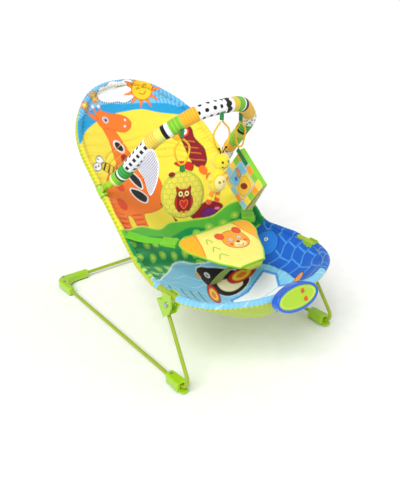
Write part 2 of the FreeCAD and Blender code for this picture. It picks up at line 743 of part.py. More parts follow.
def cover_hems():
    """Sleeves of the cover round the frame tube, cut away at the brackets and bar clips."""
    sleeves = []
    clip = back_point(0, CLIP_V)
    clip_room = Part.makeBox(2 * ROOM, 2 * CLIP_NOTCH, 60.0)
    clip_room.translate(V(-ROOM, -CLIP_NOTCH, -30.0))
    clip_room.rotate(V(0, 0, 0), V(1, 0, 0), math.degrees(BACK_ANGLE))
    clip_room.translate(clip)
    bracket_room = block((-ROOM, BRACKET_NOTCH[0], SEAT_Z - 20), (ROOM, BRACKET_NOTCH[1], SEAT_Z + 20))
    for points, radii in ((seat_path_points(), SEAT_RADII), (back_path_points(), BACK_RADII)):
        sleeve = pipe(points, radii, HEM_R).cut(pipe(points, radii, TUBE_R + HEM_GAP))
        sleeve = sleeve.cut(clip_room).cut(bracket_room)
        sleeves += sleeve.Solids
    return Part.makeCompound(sleeves)


# ================================================================ toy bar
def clip_axes(side):
    """Centre of a bar clip on its tube and the tube's direction there."""
    centre = back_point(side * back_half(CLIP_V), CLIP_V)
    along = back_point(side * SHOULDER_HALF, SHOULDER_V) - V(side * HIP_HALF, HIP_Y, SEAT_Z)
    return centre, along.normalize()


def bar_clip(side):
    centre, along = clip_axes(side)
    ring = rod(centre - along * CLIP_HALF, centre + along * CLIP_HALF, CLIP_R)
    ears = []
    for way in (-1.0, 1.0):
        low = side * back_half(CLIP_V) + way * EAR_IN
        high = side * back_half(CLIP_V) + way * EAR_OUT
        disc = rod(V(low, PIN.y, PIN.z), V(high, PIN.y, PIN.z), EAR_R)
        root = [back_point(0, CLIP_V - EAR_R, TUBE_R + 1), back_point(0, CLIP_V + EAR_R, TUBE_R + 1),
                back_point(0, CLIP_V + EAR_R, PIN_UP), back_point(0, CLIP_V - EAR_R, PIN_UP)]
        ears += [disc, plate_yz([(p.y, p.z) for p in root], min(low, high), max(low, high))]
    body = ring.fuse(ears).removeSplitter()
    body = body.cut(rod(centre - along * 40, centre + along * 40, TUBE_R))
    return body.cut(bar_pin(side, PIN_R))


def bar_pin(side, radius):
    middle = side * back_half(CLIP_V)
    return rod(V(middle - EAR_OUT, PIN.y, PIN.z), V(middle + EAR_OUT, PIN.y, PIN.z), radius)


def bar_points():
    right = [bar_point(half, up) for half, up in (BAR_START, BAR_KNEE, BAR_SHOULDER, BAR_CROWN)]
    left = [V(-p.x, p.y, p.z) for p in reversed(right)]
    return right + left


BAR_ALL_RADII = list(BAR_RADII) + list(reversed(BAR_RADII))


def bar_direction(side):
    """Direction of the bar tube as it leaves its end piece."""
    start = bar_point(side * BAR_START[0], BAR_START[1])
    return start, (bar_point(side * BAR_KNEE[0], BAR_KNEE[1]) - start).normalize()


def toy_bar_tube():
    return pipe(bar_points(), BAR_ALL_RADII, BAR_TUBE_R)


def toy_bar_sleeve():
    outside = pipe(bar_points(), BAR_ALL_RADII, SLEEVE_R).cut(toy_bar_tube())
    for side in SIDES.values():
        start, along = bar_direction(side)
        end_room = Part.makeCylinder(3 * SLEEVE_R, 60.0, start + along * SLEEVE_FROM, along * -1)
        outside = outside.cut(end_room)
    return outside


def bar_end(side):
    """A barrel on the bar tube, with the tongue that turns on the pin."""
    start, along = bar_direction(side)
    middle = side * back_half(CLIP_V)
    barrel = rod(start - along * 3.0, start + along * (BARREL_L - 0.5), BARREL_R)
    hub = rod(V(middle - TONGUE_T, PIN.y, PIN.z), V(middle + TONGUE_T, PIN.y, PIN.z), 5.5)
    lift = BAR_DIR * BAR_START[1]
    aside = V(0, BAR_DIR.z, -BAR_DIR.y) * 5.0
    pin = V(middle, PIN.y, PIN.z)
    outline = [pin + aside, pin + lift + aside, pin + lift - aside, pin - aside]
    web = plate_yz([(p.y, p.z) for p in outline], middle - TONGUE_T, middle + TONGUE_T)
    body = barrel.fuse([hub, web]).removeSplitter()
    body = body.cut(bar_pin(side, PIN_R + PIN_GAP))
    ear_room = rod(V(middle - 12, PIN.y, PIN.z), V(middle + 12, PIN.y, PIN.z), EAR_R + 0.8)
    tongue_room = block((middle - TONGUE_T, PIN.y - 20, PIN.z - 20),
                        (middle + TONGUE_T, PIN.y + 20, PIN.z + 20))
    body = body.cut(ear_room.cut(tongue_room))
    return body.cut(toy_bar_tube())


def striped_leaf():
    """A flat fabric leaf sewn to the underside of the sleeve's left arm."""
    under = SLEEVE_R / abs(BAR_DIR.y) + 0.3
    low = bar_point(LEAF_X, LEAF_FROM, under)
    high = bar_point(LEAF_X, LEAF_TO, under)
    outline = [(low.y, low.z), (high.y, high.z)]
    outline += [(high.y + y, high.z + z) for y, z in LEAF_SHAPE]
    return plate_yz(outline, LEAF_X, LEAF_X + LEAF_T)


# ================================================================ toys
def hang_point(x):
    """Underside of the sleeve where a toy hangs, x from the middle."""
    side_x = abs(x)
    if side_x < BAR_CROWN[0] / 2:
        up = BAR_CROWN[1]
    else:
        rise = (BAR_CROWN[1] - BAR_SHOULDER[1]) / (BAR_SHOULDER[0] - BAR_CROWN[0])
        up = BAR_CROWN[1] - (side_x - BAR_CROWN[0]) * rise
    at = bar_point(x, up, SLEEVE_R + 1.5)
    return at + BOOK_HOOK if x == BOOK_X else at


TOYS = {"owl": -OWL_X, "plush": PLUSH_X, "book": BOOK_X}


def toy_eye(x):
    """A small moulded hook under the sleeve."""
    low = swing_point(x)
    pin = Part.makeCylinder(EYE_R, EYE_H + SLEEVE_R, low)
    return largest(pin.cut(pipe(bar_points(), BAR_ALL_RADII, SLEEVE_R)))


def swing_point(x):
    return hang_point(x) - V(0, 0, EYE_H)


def loop(x, width, height):
    """A hanging cord loop below a toy's hook."""
    top = swing_point(x) - V(0, 0, HANG_GAP + LOOP_R)
    half = width / 2
    points = [top + V(-4, 0, 0), top + V(4, 0, 0), top + V(half, 0, -height * 0.45),
              top + V(4, 0, -height), top + V(-4, 0, -height), top + V(-half, 0, -height * 0.45)]
    return pipe(points, [2.8, 2.8, 14.0, 2.8, 2.8, 14.0], LOOP_R, closed=True)


def below_loop(x, height):
    return swing_point(x) - V(0, 0, HANG_GAP + 2 * LOOP_R + height)


def owl_clip():
    """The moulded tab between the loop and the disc."""
    at = below_loop(TOYS["owl"], OWL_LOOP_H)
    wide, thick, high = OWL_CLIP
    return block((at.x - wide / 2, at.y - thick / 2, at.z - high),
                 (at.x + wide / 2, at.y + thick / 2, at.z))


def owl_disc():
    at = below_loop(TOYS["owl"], OWL_LOOP_H) - V(0, 0, OWL_CLIP[2] + OWL_B)
    ellipse = Part.Ellipse(V(0, 0, 0), OWL_B, OWL_A).toShape()
    disc = Part.Face(Part.Wire([ellipse])).extrude(V(0, 0, OWL_T))
    disc = disc.makeFillet(OWL_T * 0.4, [e for e in disc.Edges if e.BoundBox.ZLength < 1e-3])
    facing = V(math.sin(OWL_TURN), -math.cos(OWL_TURN), 0)
    return placed(disc, at - facing * (OWL_T / 2), V(0, 0, 1), facing)


def plush_body():
    """A soft toy: round head over a plump body with two hanging legs."""
    head = below_loop(TOYS["plush"], PLUSH_LOOP_H) - V(0, 0, PLUSH_HEAD_R)
    body = head - V(PLUSH_ASIDE, 0, PLUSH_DROP)
    shape = Part.makeSphere(PLUSH_HEAD_R, head)
    shape = shape.fuse(Part.makeSphere(PLUSH_BODY_R, body))
    shape = shape.fuse(rod(head, body, PLUSH_NECK_R))
    for way in (-1.0, 1.0):
        hip = body + V(way * PLUSH_LEG_R, 0, 0)
        foot = hip + V(PLUSH_LEG[0] + way * PLUSH_LEG_R, 0, PLUSH_LEG[1])
        shape = shape.fuse(rod(hip, foot, PLUSH_LEG_R))
    return shape


def book_corner():
    """The corner by which the cloth book hangs."""
    return below_loop(TOYS["book"], BOOK_LOOP_H) - V(0, 0, BOOK_DROP)


def book_piece(along, across, out, fan=0.0):
    """A slab of the book from low to high along the spine, across the leaf and to the right.

    The spine runs from the hanging corner down towards the foot end; a leaf opens about it.
    """
    slab = block((along[0], across[0], out[0]), (along[1], across[1], out[1]))
    slab.rotate(V(0, 0, 0), V(1, 0, 0), fan)
    spine = V(0, -math.cos(BOOK_SPINE_SLOPE), math.sin(BOOK_SPINE_SLOPE))
    return placed(slab, book_corner(), spine, V(1, 0, 0))


def book_leaf(step):
    """A leaf; step 0 is the front cover and each one behind it stands out further."""
    low = step * BOOK_LEAF_PITCH
    reach = BOOK_SIDE + step * BOOK_STAGGER
    return book_piece((0, BOOK_SIDE), (0, reach), (low, low + BOOK_LEAF_T), step * BOOK_FAN)


def book_cover():
    last = BOOK_LEAVES - 1
    spine = book_piece((0, BOOK_SIDE), (-BOOK_LEAF_T, 0.5), (0, last * BOOK_LEAF_PITCH + BOOK_LEAF_T))
    return spine.fuse([book_leaf(0), book_leaf(last)]).removeSplitter()


def book_pages():
    cover = book_cover()
    return Part.makeCompound([largest(book_leaf(step).cut(cover)) for step in range(1, BOOK_LEAVES - 1)])


def book_tab():
    """The webbing tab that runs from the loop along the spine and carries the book."""
    along = book_piece((0, BOOK_TAB_L), (0, BOOK_TAB_W), (-BOOK_TAB_T, 0))
    at = book_corner()
    hook = block((at.x - BOOK_TAB_T, at.y - BOOK_TAB_W / 2, at.z - BOOK_TAB_W / 2),
                 (at.x, at.y + BOOK_TAB_W / 2, at.z + BOOK_DROP))
    return along.fuse(hook).removeSplitter()


# ================================================================ harness
def pad_strip(line, thickness):
    """A strip along a line of y, z and half widths, centred on it."""
    stations = []
    for i, (y, z, half) in enumerate(line):
        before = line[max(i - 1, 0)]
        after = line[min(i + 1, len(line) - 1)]
        along = V(0, after[0] - before[0], after[1] - before[1])
        normal = V(0, -along.z, along.y).normalize()
        stations.append((V(0, y, z) - normal * (thickness / 2), V(1, 0, 0), half, normal))
    return strip(stations, thickness)


def crotch_pad():
    """The wide pad over the lap, folded at the foot end into the stem that holds it down."""
    pad = pad_strip(PAD_LINE, PAD_T).fuse(pad_strip(STEM_LINE, STEM_T)).removeSplitter()
    return largest(pad.cut(seat_panel()))


def buckle_axes(side):
    """Middle of a buckle's pad end, the way to the frame, across it, and its upper face."""
    at = V(side * BUCKLE_AT.x, BUCKLE_AT.y, BUCKLE_AT.z)
    away = (V(side * STRAP_FROM.x, STRAP_FROM.y, STRAP_FROM.z) - at).normalize()
    across = V(0, 0, 1).cross(away).normalize()
    return at, away, across, away.cross(across)


def buckle_box(side, along, half_width, half_thick):
    """A box on the buckle's axis, from and to distances along it."""
    at, away, across, _ = buckle_axes(side)
    low, high = along
    box = block((-half_width, -half_thick, low), (half_width, half_thick, high))
    return placed(box, at, across, away)


def buckle_socket(side):
    shell = buckle_box(side, (0.0, BUCKLE_L), BUCKLE_W / 2, BUCKLE_T / 2)
    slot = buckle_box(side, (BUCKLE_SIDE, BUCKLE_L + 1.0), BUCKLE_W / 2 - BUCKLE_SIDE,
                      BUCKLE_T / 2 - BUCKLE_WALL)
    return shell.cut(slot).cut(crotch_pad())


def buckle_tongue(side):
    """A blade that fills the socket's slot and the head that the strap is sewn to."""
    blade = buckle_box(side, (BUCKLE_SIDE + 2.0, BUCKLE_L + 1.0), BUCKLE_W / 2 - BUCKLE_SIDE,
                       BUCKLE_T / 2 - BUCKLE_WALL)
    head = buckle_box(side, (BUCKLE_L, BUCKLE_L + HEAD_L), BUCKLE_W / 2, BUCKLE_T / 2 - 0.5)
    return blade.fuse(head).removeSplitter()


def waist_strap(side):
    """Webbing from the buckle's tongue to the cover's side seam."""
    at, away, across, face = buckle_axes(side)
    start = at + away * (BUCKLE_L + HEAD_L)
    end = V(side * STRAP_FROM.x, STRAP_FROM.y, STRAP_FROM.z)
    middle = (start + end) * 0.5 - V(0, 0, STRAP_SAG)
    half = face * (STRAP_T / 2)
    band = strip([(p - half, across, STRAP_W / 2, face) for p in (start, middle, end)], STRAP_T)
    return largest(band.cut([back_panel(), pipe(back_path_points(), BACK_RADII, HEM_R)]))


# ================================================================ vibration unit
def oval(a, b, low, high):
    """An oval prism in the unit's own axes, from low to high along its outward axis."""
    ellipse = Part.Ellipse(V(0, 0, 0), a, b).toShape()
    prism = Part.Face(Part.Wire([ellipse])).extrude(V(0, 0, high - low))
    return placed(prism, unit_point(0, 0, low), V(1, 0, 0), UNIT_OUT)


def unit_box(x, up, out):
    """A box in the unit's axes; each argument is a low and high pair."""
    box = block((x[0], up[0], out[0]), (x[1], up[1], out[1]))
    return placed(box, UNIT_AT, V(1, 0, 0), UNIT_OUT)


def unit_rod(start, end, radius):
    return rod(unit_point(*start), unit_point(*end), radius)


def softened(shape, out, radius):
    """Rounds the edges of a unit piece that lie at one outward level."""
    level = [e for e in shape.Edges if abs((e.CenterOfMass - UNIT_AT).dot(UNIT_OUT) - out) < 0.05]
    return shape.makeFillet(radius, level)


def strap_screw_spot():
    return (unit_point(0, STRAP_SCREW_UP, -UNIT_DEPTH - STRAP_FOOT_T), UNIT_OUT, 8.0)


def door_screw_spots():
    reach = BOX_IN + BOX_WALL + DOOR_EAR
    return [(unit_point(x, BATTERY_UP, -BOX_DEPTH - DOOR_T), UNIT_OUT, 8.0)
            for x in (-reach, reach)]


def tube_in_unit():
    """Height and depth of the frame tube's centre in the unit's own axes."""
    away = V(0, FRONT_Y, SEAT_Z) - UNIT_AT
    return away.dot(UNIT_UP), away.dot(UNIT_OUT)


def battery_box(wall, out):
    half = BOX_IN + wall
    return unit_box((-half, half), (BATTERY_UP - BOX_ROOM - wall, BATTERY_UP + BOX_ROOM + wall), out)


def motor_rod(x, radius):
    return unit_rod((x[0], MOTOR_UP, MOTOR_OUT), (x[1], MOTOR_UP, MOTOR_OUT), radius)


def board_top():
    return -FACE_T - BUTTON_GAP - FLANGE_T - BUTTON_TRAVEL - BOARD_GAP


def unit_housing():
    floor = -UNIT_DEPTH + UNIT_WALL
    shell = softened(oval(UNIT_A, UNIT_B, -UNIT_DEPTH, LIP_H), LIP_H, RIM_R)
    shell = shell.cut(oval(FACE_A, FACE_B, -FACE_T, LIP_H + 1))
    shell = shell.cut(oval(FACE_A - FACE_LEDGE, FACE_B - FACE_LEDGE, floor, LIP_H))
    added = [battery_box(BOX_WALL, (-BOX_DEPTH, -UNIT_DEPTH))]
    for at, into, _ in door_screw_spots():
        start = at + into * DOOR_T
        added.append(rod(start, start + into * (BOX_DEPTH - UNIT_DEPTH), DOOR_BOSS_R))
    for x, up in POSTS:
        added.append(unit_rod((x, up, floor - 1), (x, up, board_top() - BOARD_T), POST_R))
    added.append(unit_box((MOTOR_X[0] + 2, MOTOR_X[1] - 3),
                          (MOTOR_UP - MOTOR_R - 1, MOTOR_UP + MOTOR_R + 1),
                          (floor - 1, MOTOR_OUT)))
    shell = shell.fuse(added).removeSplitter()
    shell = shell.cut(battery_box(0.0, (-BOX_DEPTH - 1, -UNIT_DEPTH)))
    shell = shell.cut(motor_rod(MOTOR_X, MOTOR_R))
    for spot in door_screw_spots() + [strap_screw_spot()]:
        shell = shell.cut(screw_bore(*spot))
    return shell


def unit_face():
    face = softened(oval(FACE_A, FACE_B, -FACE_T, FACE_PROUD), FACE_PROUD, 0.5)
    for x, up in BUTTONS.values():
        face = face.cut(unit_rod((x, up, -FACE_T - 1), (x, up, LIP_H + 1), BUTTON_R + BUTTON_GAP))
    return face


def button(x, up):
    """A domed cap with a flange that keeps it behind the face."""
    under = -FACE_T - BUTTON_GAP - FLANGE_T
    cap = softened(unit_rod((x, up, under), (x, up, BUTTON_TOP), BUTTON_R), BUTTON_TOP, 1.2)
    flange = unit_rod((x, up, under), (x, up, under + FLANGE_T), FLANGE_R)
    return cap.fuse(flange).removeSplitter()


def unit_clamp():
    """A strap that holds the housing on the covered frame tube."""
    up, out = tube_in_unit()
    half = STRAP_HALF
    low = BATTERY_UP + BOX_ROOM + BOX_WALL + 0.2
    back = -UNIT_DEPTH - STRAP_FOOT_T
    strap = unit_rod((-half, up, out), (half, up, out), HEM_R + STRAP_WALL)
    strap = strap.fuse(unit_box((-half, half), (low, STRAP_FOOT_UP), (back, -UNIT_DEPTH)))
    strap = strap.removeSplitter()
    room = 2 * UNIT_A
    strap = strap.cut(unit_box((-room, room), (-room, room), (-UNIT_DEPTH, room)))
    strap = strap.cut(unit_box((-room, room), (low - room, low), (-room, room)))
    strap = strap.cut(unit_rod((-room, up, out), (room, up, out), HEM_R))
    return strap.cut(screw_bore(*strap_screw_spot()))


def battery_door():
    half = BOX_IN + BOX_WALL + DOOR_EAR + DOOR_BOSS_R
    high = BOX_ROOM + BOX_WALL
    door = unit_box((-half, half), (BATTERY_UP - high, BATTERY_UP + high),
                    (-BOX_DEPTH - DOOR_T, -BOX_DEPTH))
    for spot in door_screw_spots():
        door = door.cut(screw_bore(*spot))
    return door


def battery_contacts():
    plates = []
    for low in (-BOX_IN, BATTERY_L / 2):
        plates.append(unit_box((low, low + CONTACT_T),
                               (BATTERY_UP - CONTACT_HALF, BATTERY_UP + CONTACT_HALF),
                               (BATTERY_OUT - CONTACT_HALF, BATTERY_OUT + CONTACT_HALF)))
    return Part.makeCompound(plates)


def circuit_board():
    return unit_box(BOARD_X, (-BOARD_HALF, BOARD_HALF), (board_top() - BOARD_T, board_top()))


def eccentric_weight():
    """A half round weight that hangs on the motor's shaft."""
    weight = motor_rod(WEIGHT_X, WEIGHT_R)
    axis = unit_point(0, MOTOR_UP, MOTOR_OUT)
    above = block((WEIGHT_X[0] - 1, axis.y - 2 * WEIGHT_R, axis.z + SHAFT_R),
                  (WEIGHT_X[1] + 1, axis.y + 2 * WEIGHT_R, axis.z + 2 * WEIGHT_R))
    shaft = motor_rod((MOTOR_X[1] - SHAFT_IN + 0.5, WEIGHT_X[1]), SHAFT_R)
    return weight.cut(above).fuse(shaft).removeSplitter()


def build_unit():
    x, up = SPEAKER_AT
    floor = -UNIT_DEPTH + UNIT_WALL
    half = BATTERY_L / 2
    screws = [screw(*spot) for spot in door_screw_spots() + [strap_screw_spot()]]
    return {"unit_housing": unit_housing(), "unit_face": unit_face(), "unit_clamp": unit_clamp(),
            "battery_door": battery_door(), "unit_screws": Part.makeCompound(screws),
            "battery": unit_rod((-half, BATTERY_UP, BATTERY_OUT), (half, BATTERY_UP, BATTERY_OUT),
                                BATTERY_R),
            "battery_contacts": battery_contacts(), "circuit_board": circuit_board(),
            "vibration_motor": motor_rod(MOTOR_X, MOTOR_R).cut(
                motor_rod((MOTOR_X[1] - SHAFT_IN, MOTOR_X[1] + 1), SHAFT_R + SHAFT_GAP)),
            "eccentric_weight": eccentric_weight(),
            "speaker": unit_rod((x, up, floor), (x, up, floor + SPEAKER_T), SPEAKER_R)}


# ================================================================ all pieces
def build():
    nodes = base_rods()
    for name, side in SIDES.items():
        nodes["rear_" + name + "_elbow"] = rear_elbow(side)
        nodes["front_" + name + "_foot"] = front_foot(side)
        nodes[name + "_spring_leg"] = spring_leg(side)
        nodes[name + "_bracket_outer"] = bracket_half(side, True)
        nodes[name + "_bracket_inner"] = bracket_half(side, False)
    nodes["floor_pads"] = floor_pads()
    nodes["base_screws"] = base_screws()
    nodes["bracket_screws"] = Part.makeCompound(
        [screw(*spot) for side in SIDES.values() for spot in bracket_screw_spots(side)])
    nodes["pivot_bolts"] = Part.makeCompound([pivot_bolt(side) for side in SIDES.values()])
    nodes["pivot_nuts"] = Part.makeCompound([pivot_nut(side) for side in SIDES.values()])
    nodes["seat_tube"] = seat_tube()
    nodes["backrest_tube"] = frame_tube(back_path_points(), BACK_RADII)
    nodes["tube_joiners"] = Part.makeCompound([tube_joiner(side) for side in SIDES.values()])
    nodes["seat_clamps"] = Part.makeCompound([seat_clamp(side) for side in SIDES.values()])
    nodes["clamp_screws"] = clamp_screws()
    nodes["seat_panel"] = seat_panel()
    nodes["back_panel"] = back_panel()
    nodes["cover_hems"] = cover_hems()
    nodes["bar_clips"] = Part.makeCompound([bar_clip(side) for side in SIDES.values()])
    nodes["bar_pins"] = Part.makeCompound([bar_pin(side, PIN_R) for side in SIDES.values()])
    nodes["crotch_pad"] = crotch_pad()
    nodes["waist_straps"] = Part.makeCompound([waist_strap(side) for side in SIDES.values()])
    nodes["buckle_sockets"] = Part.makeCompound([buckle_socket(side) for side in SIDES.values()])
    nodes["buckle_tongues"] = Part.makeCompound([buckle_tongue(side) for side in SIDES.values()])
    nodes.update(build_unit())
    for name, (x, up) in BUTTONS.items():
        nodes[name] = button(x, up)
    nodes["toy_bar_tube"] = toy_bar_tube()
    nodes["toy_bar_sleeve"] = toy_bar_sleeve()
    nodes["bar_ends"] = Part.makeCompound([bar_end(side) for side in SIDES.values()])
    nodes["striped_leaf"] = striped_leaf()
    nodes["toy_eyes"] = Part.makeCompound([toy_eye(x) for x in TOYS.values()])
    nodes["owl_loop"] = loop(TOYS["owl"], OWL_LOOP_W, OWL_LOOP_H)
    nodes["owl_clip"] = owl_clip()
    nodes["owl_disc"] = owl_disc()
    nodes["plush_loop"] = loop(TOYS["plush"], PLUSH_LOOP_W, PLUSH_LOOP_H)
    nodes["plush_body"] = plush_body()
    nodes["book_loop"] = loop(TOYS["book"], BOOK_LOOP_W, BOOK_LOOP_H)
    nodes["book_tab"] = book_tab()
    nodes["book_cover"] = book_cover()
    nodes["book_pages"] = book_pages()
    return nodes


def main():
    os.makedirs("parts", exist_ok=True)
    for name, shape in build().items():
        shape.translate(ORIGIN_SHIFT)
        shape.exportStep("parts/" + name + ".step")
        print("%-22s solids %d volume %10.1f valid %s"
              % (name, len(shape.Solids), shape.Volume, shape.isValid()))


if __name__ == "__main__":
    main()
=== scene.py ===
"""Baby bouncer seat: printed cover on a springing frame, harness, toy bar and hanging toys."""

import math

import bpy
import numpy as np
from mathutils import Matrix, Vector


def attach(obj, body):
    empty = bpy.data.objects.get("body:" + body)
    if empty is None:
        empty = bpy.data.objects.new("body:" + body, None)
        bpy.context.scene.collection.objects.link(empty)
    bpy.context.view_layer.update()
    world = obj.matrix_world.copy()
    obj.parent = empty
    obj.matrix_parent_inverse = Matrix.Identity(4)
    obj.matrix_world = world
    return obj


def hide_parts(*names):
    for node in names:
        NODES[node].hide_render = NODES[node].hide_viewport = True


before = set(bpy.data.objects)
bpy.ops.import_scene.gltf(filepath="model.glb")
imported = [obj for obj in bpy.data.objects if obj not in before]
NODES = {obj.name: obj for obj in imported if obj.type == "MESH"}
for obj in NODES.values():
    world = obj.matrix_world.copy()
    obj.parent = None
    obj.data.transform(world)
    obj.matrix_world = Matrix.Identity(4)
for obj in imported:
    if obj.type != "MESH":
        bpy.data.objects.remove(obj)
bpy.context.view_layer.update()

bl_info = {
    "name": "Baby bouncer seat",
    "version": (1, 0, 0),
    "blender": (4, 5, 0),
    "location": "View3D > Sidebar > Bouncer",
    "description": "Dresses the bouncer's frame with its cover, harness, toy bar and toys",
    "category": "Object",
}

# ---------------------------------------------------------------- places, in bench millimetres
BENCH_SHIFT = -250.443          # bench y to the row frame
BACK_ANGLE = math.radians(39.0)
BACK_COS, BACK_SIN = math.cos(BACK_ANGLE), math.sin(BACK_ANGLE)
HIP_Y = 222.0
SEAT_Z = 192.0
HEAD_V = 451.0
SHOULDER_V = 338.0
RAIL_HALF = 187.5
HIP_HALF = 172.0
WAIST_Y = 140.0
HEM_R = 7.5
SEAT_LINE = [(187.5, 140.0), (187.5, 22.0), (78.0, -46.0), (0.0, -46.0)]
SEAT_RADII = [100.0, 115.0, 220.0]
BACK_RADII = [60.0, 205.0, 132.0]
SAG = np.array([                # place along the cover, then how far its middle is moved in y and z
    (-46, 0, -2), (-34, 4, -16), (-8, 2, -56), (26, -4, -86), (62, -4, -101), (104, 0, -106),
    (150, 4, -97), (192, 14, -78), (226, 27, -55.5)], float)
BACK_SAG = [(60, 60), (130, 54), (220, 44), (300, 34), (360, 25), (405, 17), (432, 10), (451, 1)]
BAR_SLOPE = math.radians(134.4)
PIN = np.array([0.0, 353.52, 320.38])
BAR_LINE = [(160.0, 12.0), (143.0, 46.0), (122.0, 188.0), (52.0, 263.0)]
BAR_RADII = [60.0, 70.0, 72.0]
BAR_UP = np.array([0.0, math.cos(BAR_SLOPE), math.sin(BAR_SLOPE)])      # in the bar's plane
BAR_OUT = np.array([0.0, -math.sin(BAR_SLOPE), math.cos(BAR_SLOPE)])    # square to that plane
SLEEVE_R = 15.0
UNIT_AT = np.array([0.0, -68.5, 192.5])
UNIT_TILT = math.radians(20.0)

BLACK = (0.05, 0.04, 0.06)
WHITE = (0.96, 0.97, 0.98)
BEAK = (0.96, 0.70, 0.10)
NAVY = (0.03, 0.18, 0.50)
AREA_BLUR, LINE_BLUR = 1.4, 1.2         # millimetres over which printed edges fade


def linear(colour):
    """Screen colour to the linear values that shaders and attributes hold."""
    c = np.asarray(colour, float)
    return np.where(c <= 0.04045, c / 12.92, ((c + 0.055) / 1.055) ** 2.4)


def row(points):
    """Bench millimetres to metres in the row frame."""
    p = np.array(points, float)
    p[..., 1] += BENCH_SHIFT
    return p / 1000.0


def back_point(x, v):
    """A point of the backrest's plane, v along it from the hip."""
    return (x, HIP_Y + v * BACK_COS, SEAT_Z + v * BACK_SIN)


def side_half(y):
    """Half width of the frame between the waist and the hip."""
    return RAIL_HALF + (HIP_HALF - RAIL_HALF) * (y - WAIST_Y) / (HIP_Y - WAIST_Y)


# ---------------------------------------------------------------- curves and grids
def even(points, step):
    """The same line with a point at every step along it."""
    p = np.array(points, float)
    run = np.r_[0, np.cumsum(np.linalg.norm(np.diff(p, axis=0), axis=1))]
    t = np.linspace(0, run[-1], max(2, int(round(run[-1] / step)) + 1))
    return np.stack([np.interp(t, run, p[:, k]) for k in range(p.shape[1])], 1)


def rounded(points, radii, step=2.0):
    """Straight runs joined by arcs, as the frame's tubes are bent."""
    pts = [np.array(p, float) for p in points]
    out = [pts[0]]
    for i in range(1, len(pts) - 1):
        a = pts[i - 1] - pts[i]
        b = pts[i + 1] - pts[i]
        a /= np.linalg.norm(a)
        b /= np.linalg.norm(b)
        half = math.acos(float(np.clip(a @ b, -1, 1))) / 2
        mid = (a + b) / np.linalg.norm(a + b)
        centre = pts[i] + mid * radii[i - 1] / math.sin(half)
        reach = radii[i - 1] / math.tan(half)
        va = (pts[i] + a * reach - centre) / radii[i - 1]
        vb = (pts[i] + b * reach - centre) / radii[i - 1]
        w = math.acos(float(np.clip(va @ vb, -1, 1)))
        for t in np.linspace(0, 1, max(4, int(radii[i - 1] * w / step)) + 1):
            turn = (va * math.sin((1 - t) * w) + vb * math.sin(t * w)) / math.sin(w)
            out.append(centre + radii[i - 1] * turn)
    out.append(pts[-1])
    return even(out, step)


def smooth_line(points, per=8, closed=False):
    """A Catmull-Rom line through the points."""
    p = np.array(points, float)
    if closed:
        p = np.vstack([p[-1:], p, p[:2]])
    else:
        p = np.vstack([2 * p[0] - p[1], p, 2 * p[-1] - p[-2]])
    t = np.linspace(0, 1, per, endpoint=False)[:, None]
    out = []
    for i in range(1, len(p) - 2):
        a, b, c, d = p[i - 1], p[i], p[i + 1], p[i + 2]
        out.append(0.5 * (2 * b + (c - a) * t + (2 * a - 5 * b + 4 * c - d) * t ** 2
                          + (3 * b - a - 3 * c + d) * t ** 3))
    out = np.vstack(out)
    return out if closed else np.vstack([out, p[-2:-1]])


def ripple(u, v, seed, octaves=3):
    """Smooth uneven waves from -1 to 1 over two coordinates, the same on every run."""
    rng = np.random.RandomState(seed)
    total = np.zeros(np.broadcast(u, v).shape)
    size = 0.0
    for k in range(octaves):
        weight = 0.6 ** k
        for _ in range(5):
            angle = rng.uniform(0, 2 * math.pi)
            pace = (1.7 ** k) * rng.uniform(0.7, 1.3)
            phase = rng.uniform(0, 2 * math.pi)
            total += weight * np.sin(pace * (u * math.cos(angle) + v * math.sin(angle)) + phase)
        size += weight * 2.6
    return total / size


def grid_normals(grid):
    across = np.gradient(grid, axis=1)
    along = np.gradient(grid, axis=0)
    n = np.cross(across, along)
    return n / np.maximum(np.linalg.norm(n, axis=2, keepdims=True), 1e-9)


def layers(top, low):
    """The points of an upper and a lower grid, one after the other."""
    return np.vstack([top.reshape(-1, 3), low.reshape(-1, 3)])


def slab_faces(rows, cols):
    """Faces of a closed slab between an upper and a lower grid."""
    top = np.arange(rows * cols).reshape(rows, cols)
    low = top + rows * cols
    quads = np.stack([top[:-1, :-1], top[:-1, 1:], top[1:, 1:], top[1:, :-1]], -1).reshape(-1, 4)
    ring = np.r_[top[0, :-1], top[:-1, -1], top[-1, :0:-1], top[:0:-1, 0]]
    under = np.stack([low[:-1, :-1], low[1:, :-1], low[1:, 1:], low[:-1, 1:]], -1).reshape(-1, 4)
    nxt = np.roll(ring, -1)
    rim = np.stack([nxt, ring, ring + rows * cols, nxt + rows * cols], -1)
    return np.vstack([quads, under, rim]).tolist()


def slab_facing(top, direction):
    """Faces of a slab whose upper grid is to look along a direction."""
    faces = slab_faces(*top.shape[:2])
    if float((grid_normals(top) @ direction).mean()) < 0:
        faces = [quad[::-1] for quad in faces]
    return faces


# ---------------------------------------------------------------- printing
def opaque(rgb):
    """Colours with a full alpha, as the print attribute holds them."""
    return np.hstack([rgb, np.ones((len(rgb), 1))])


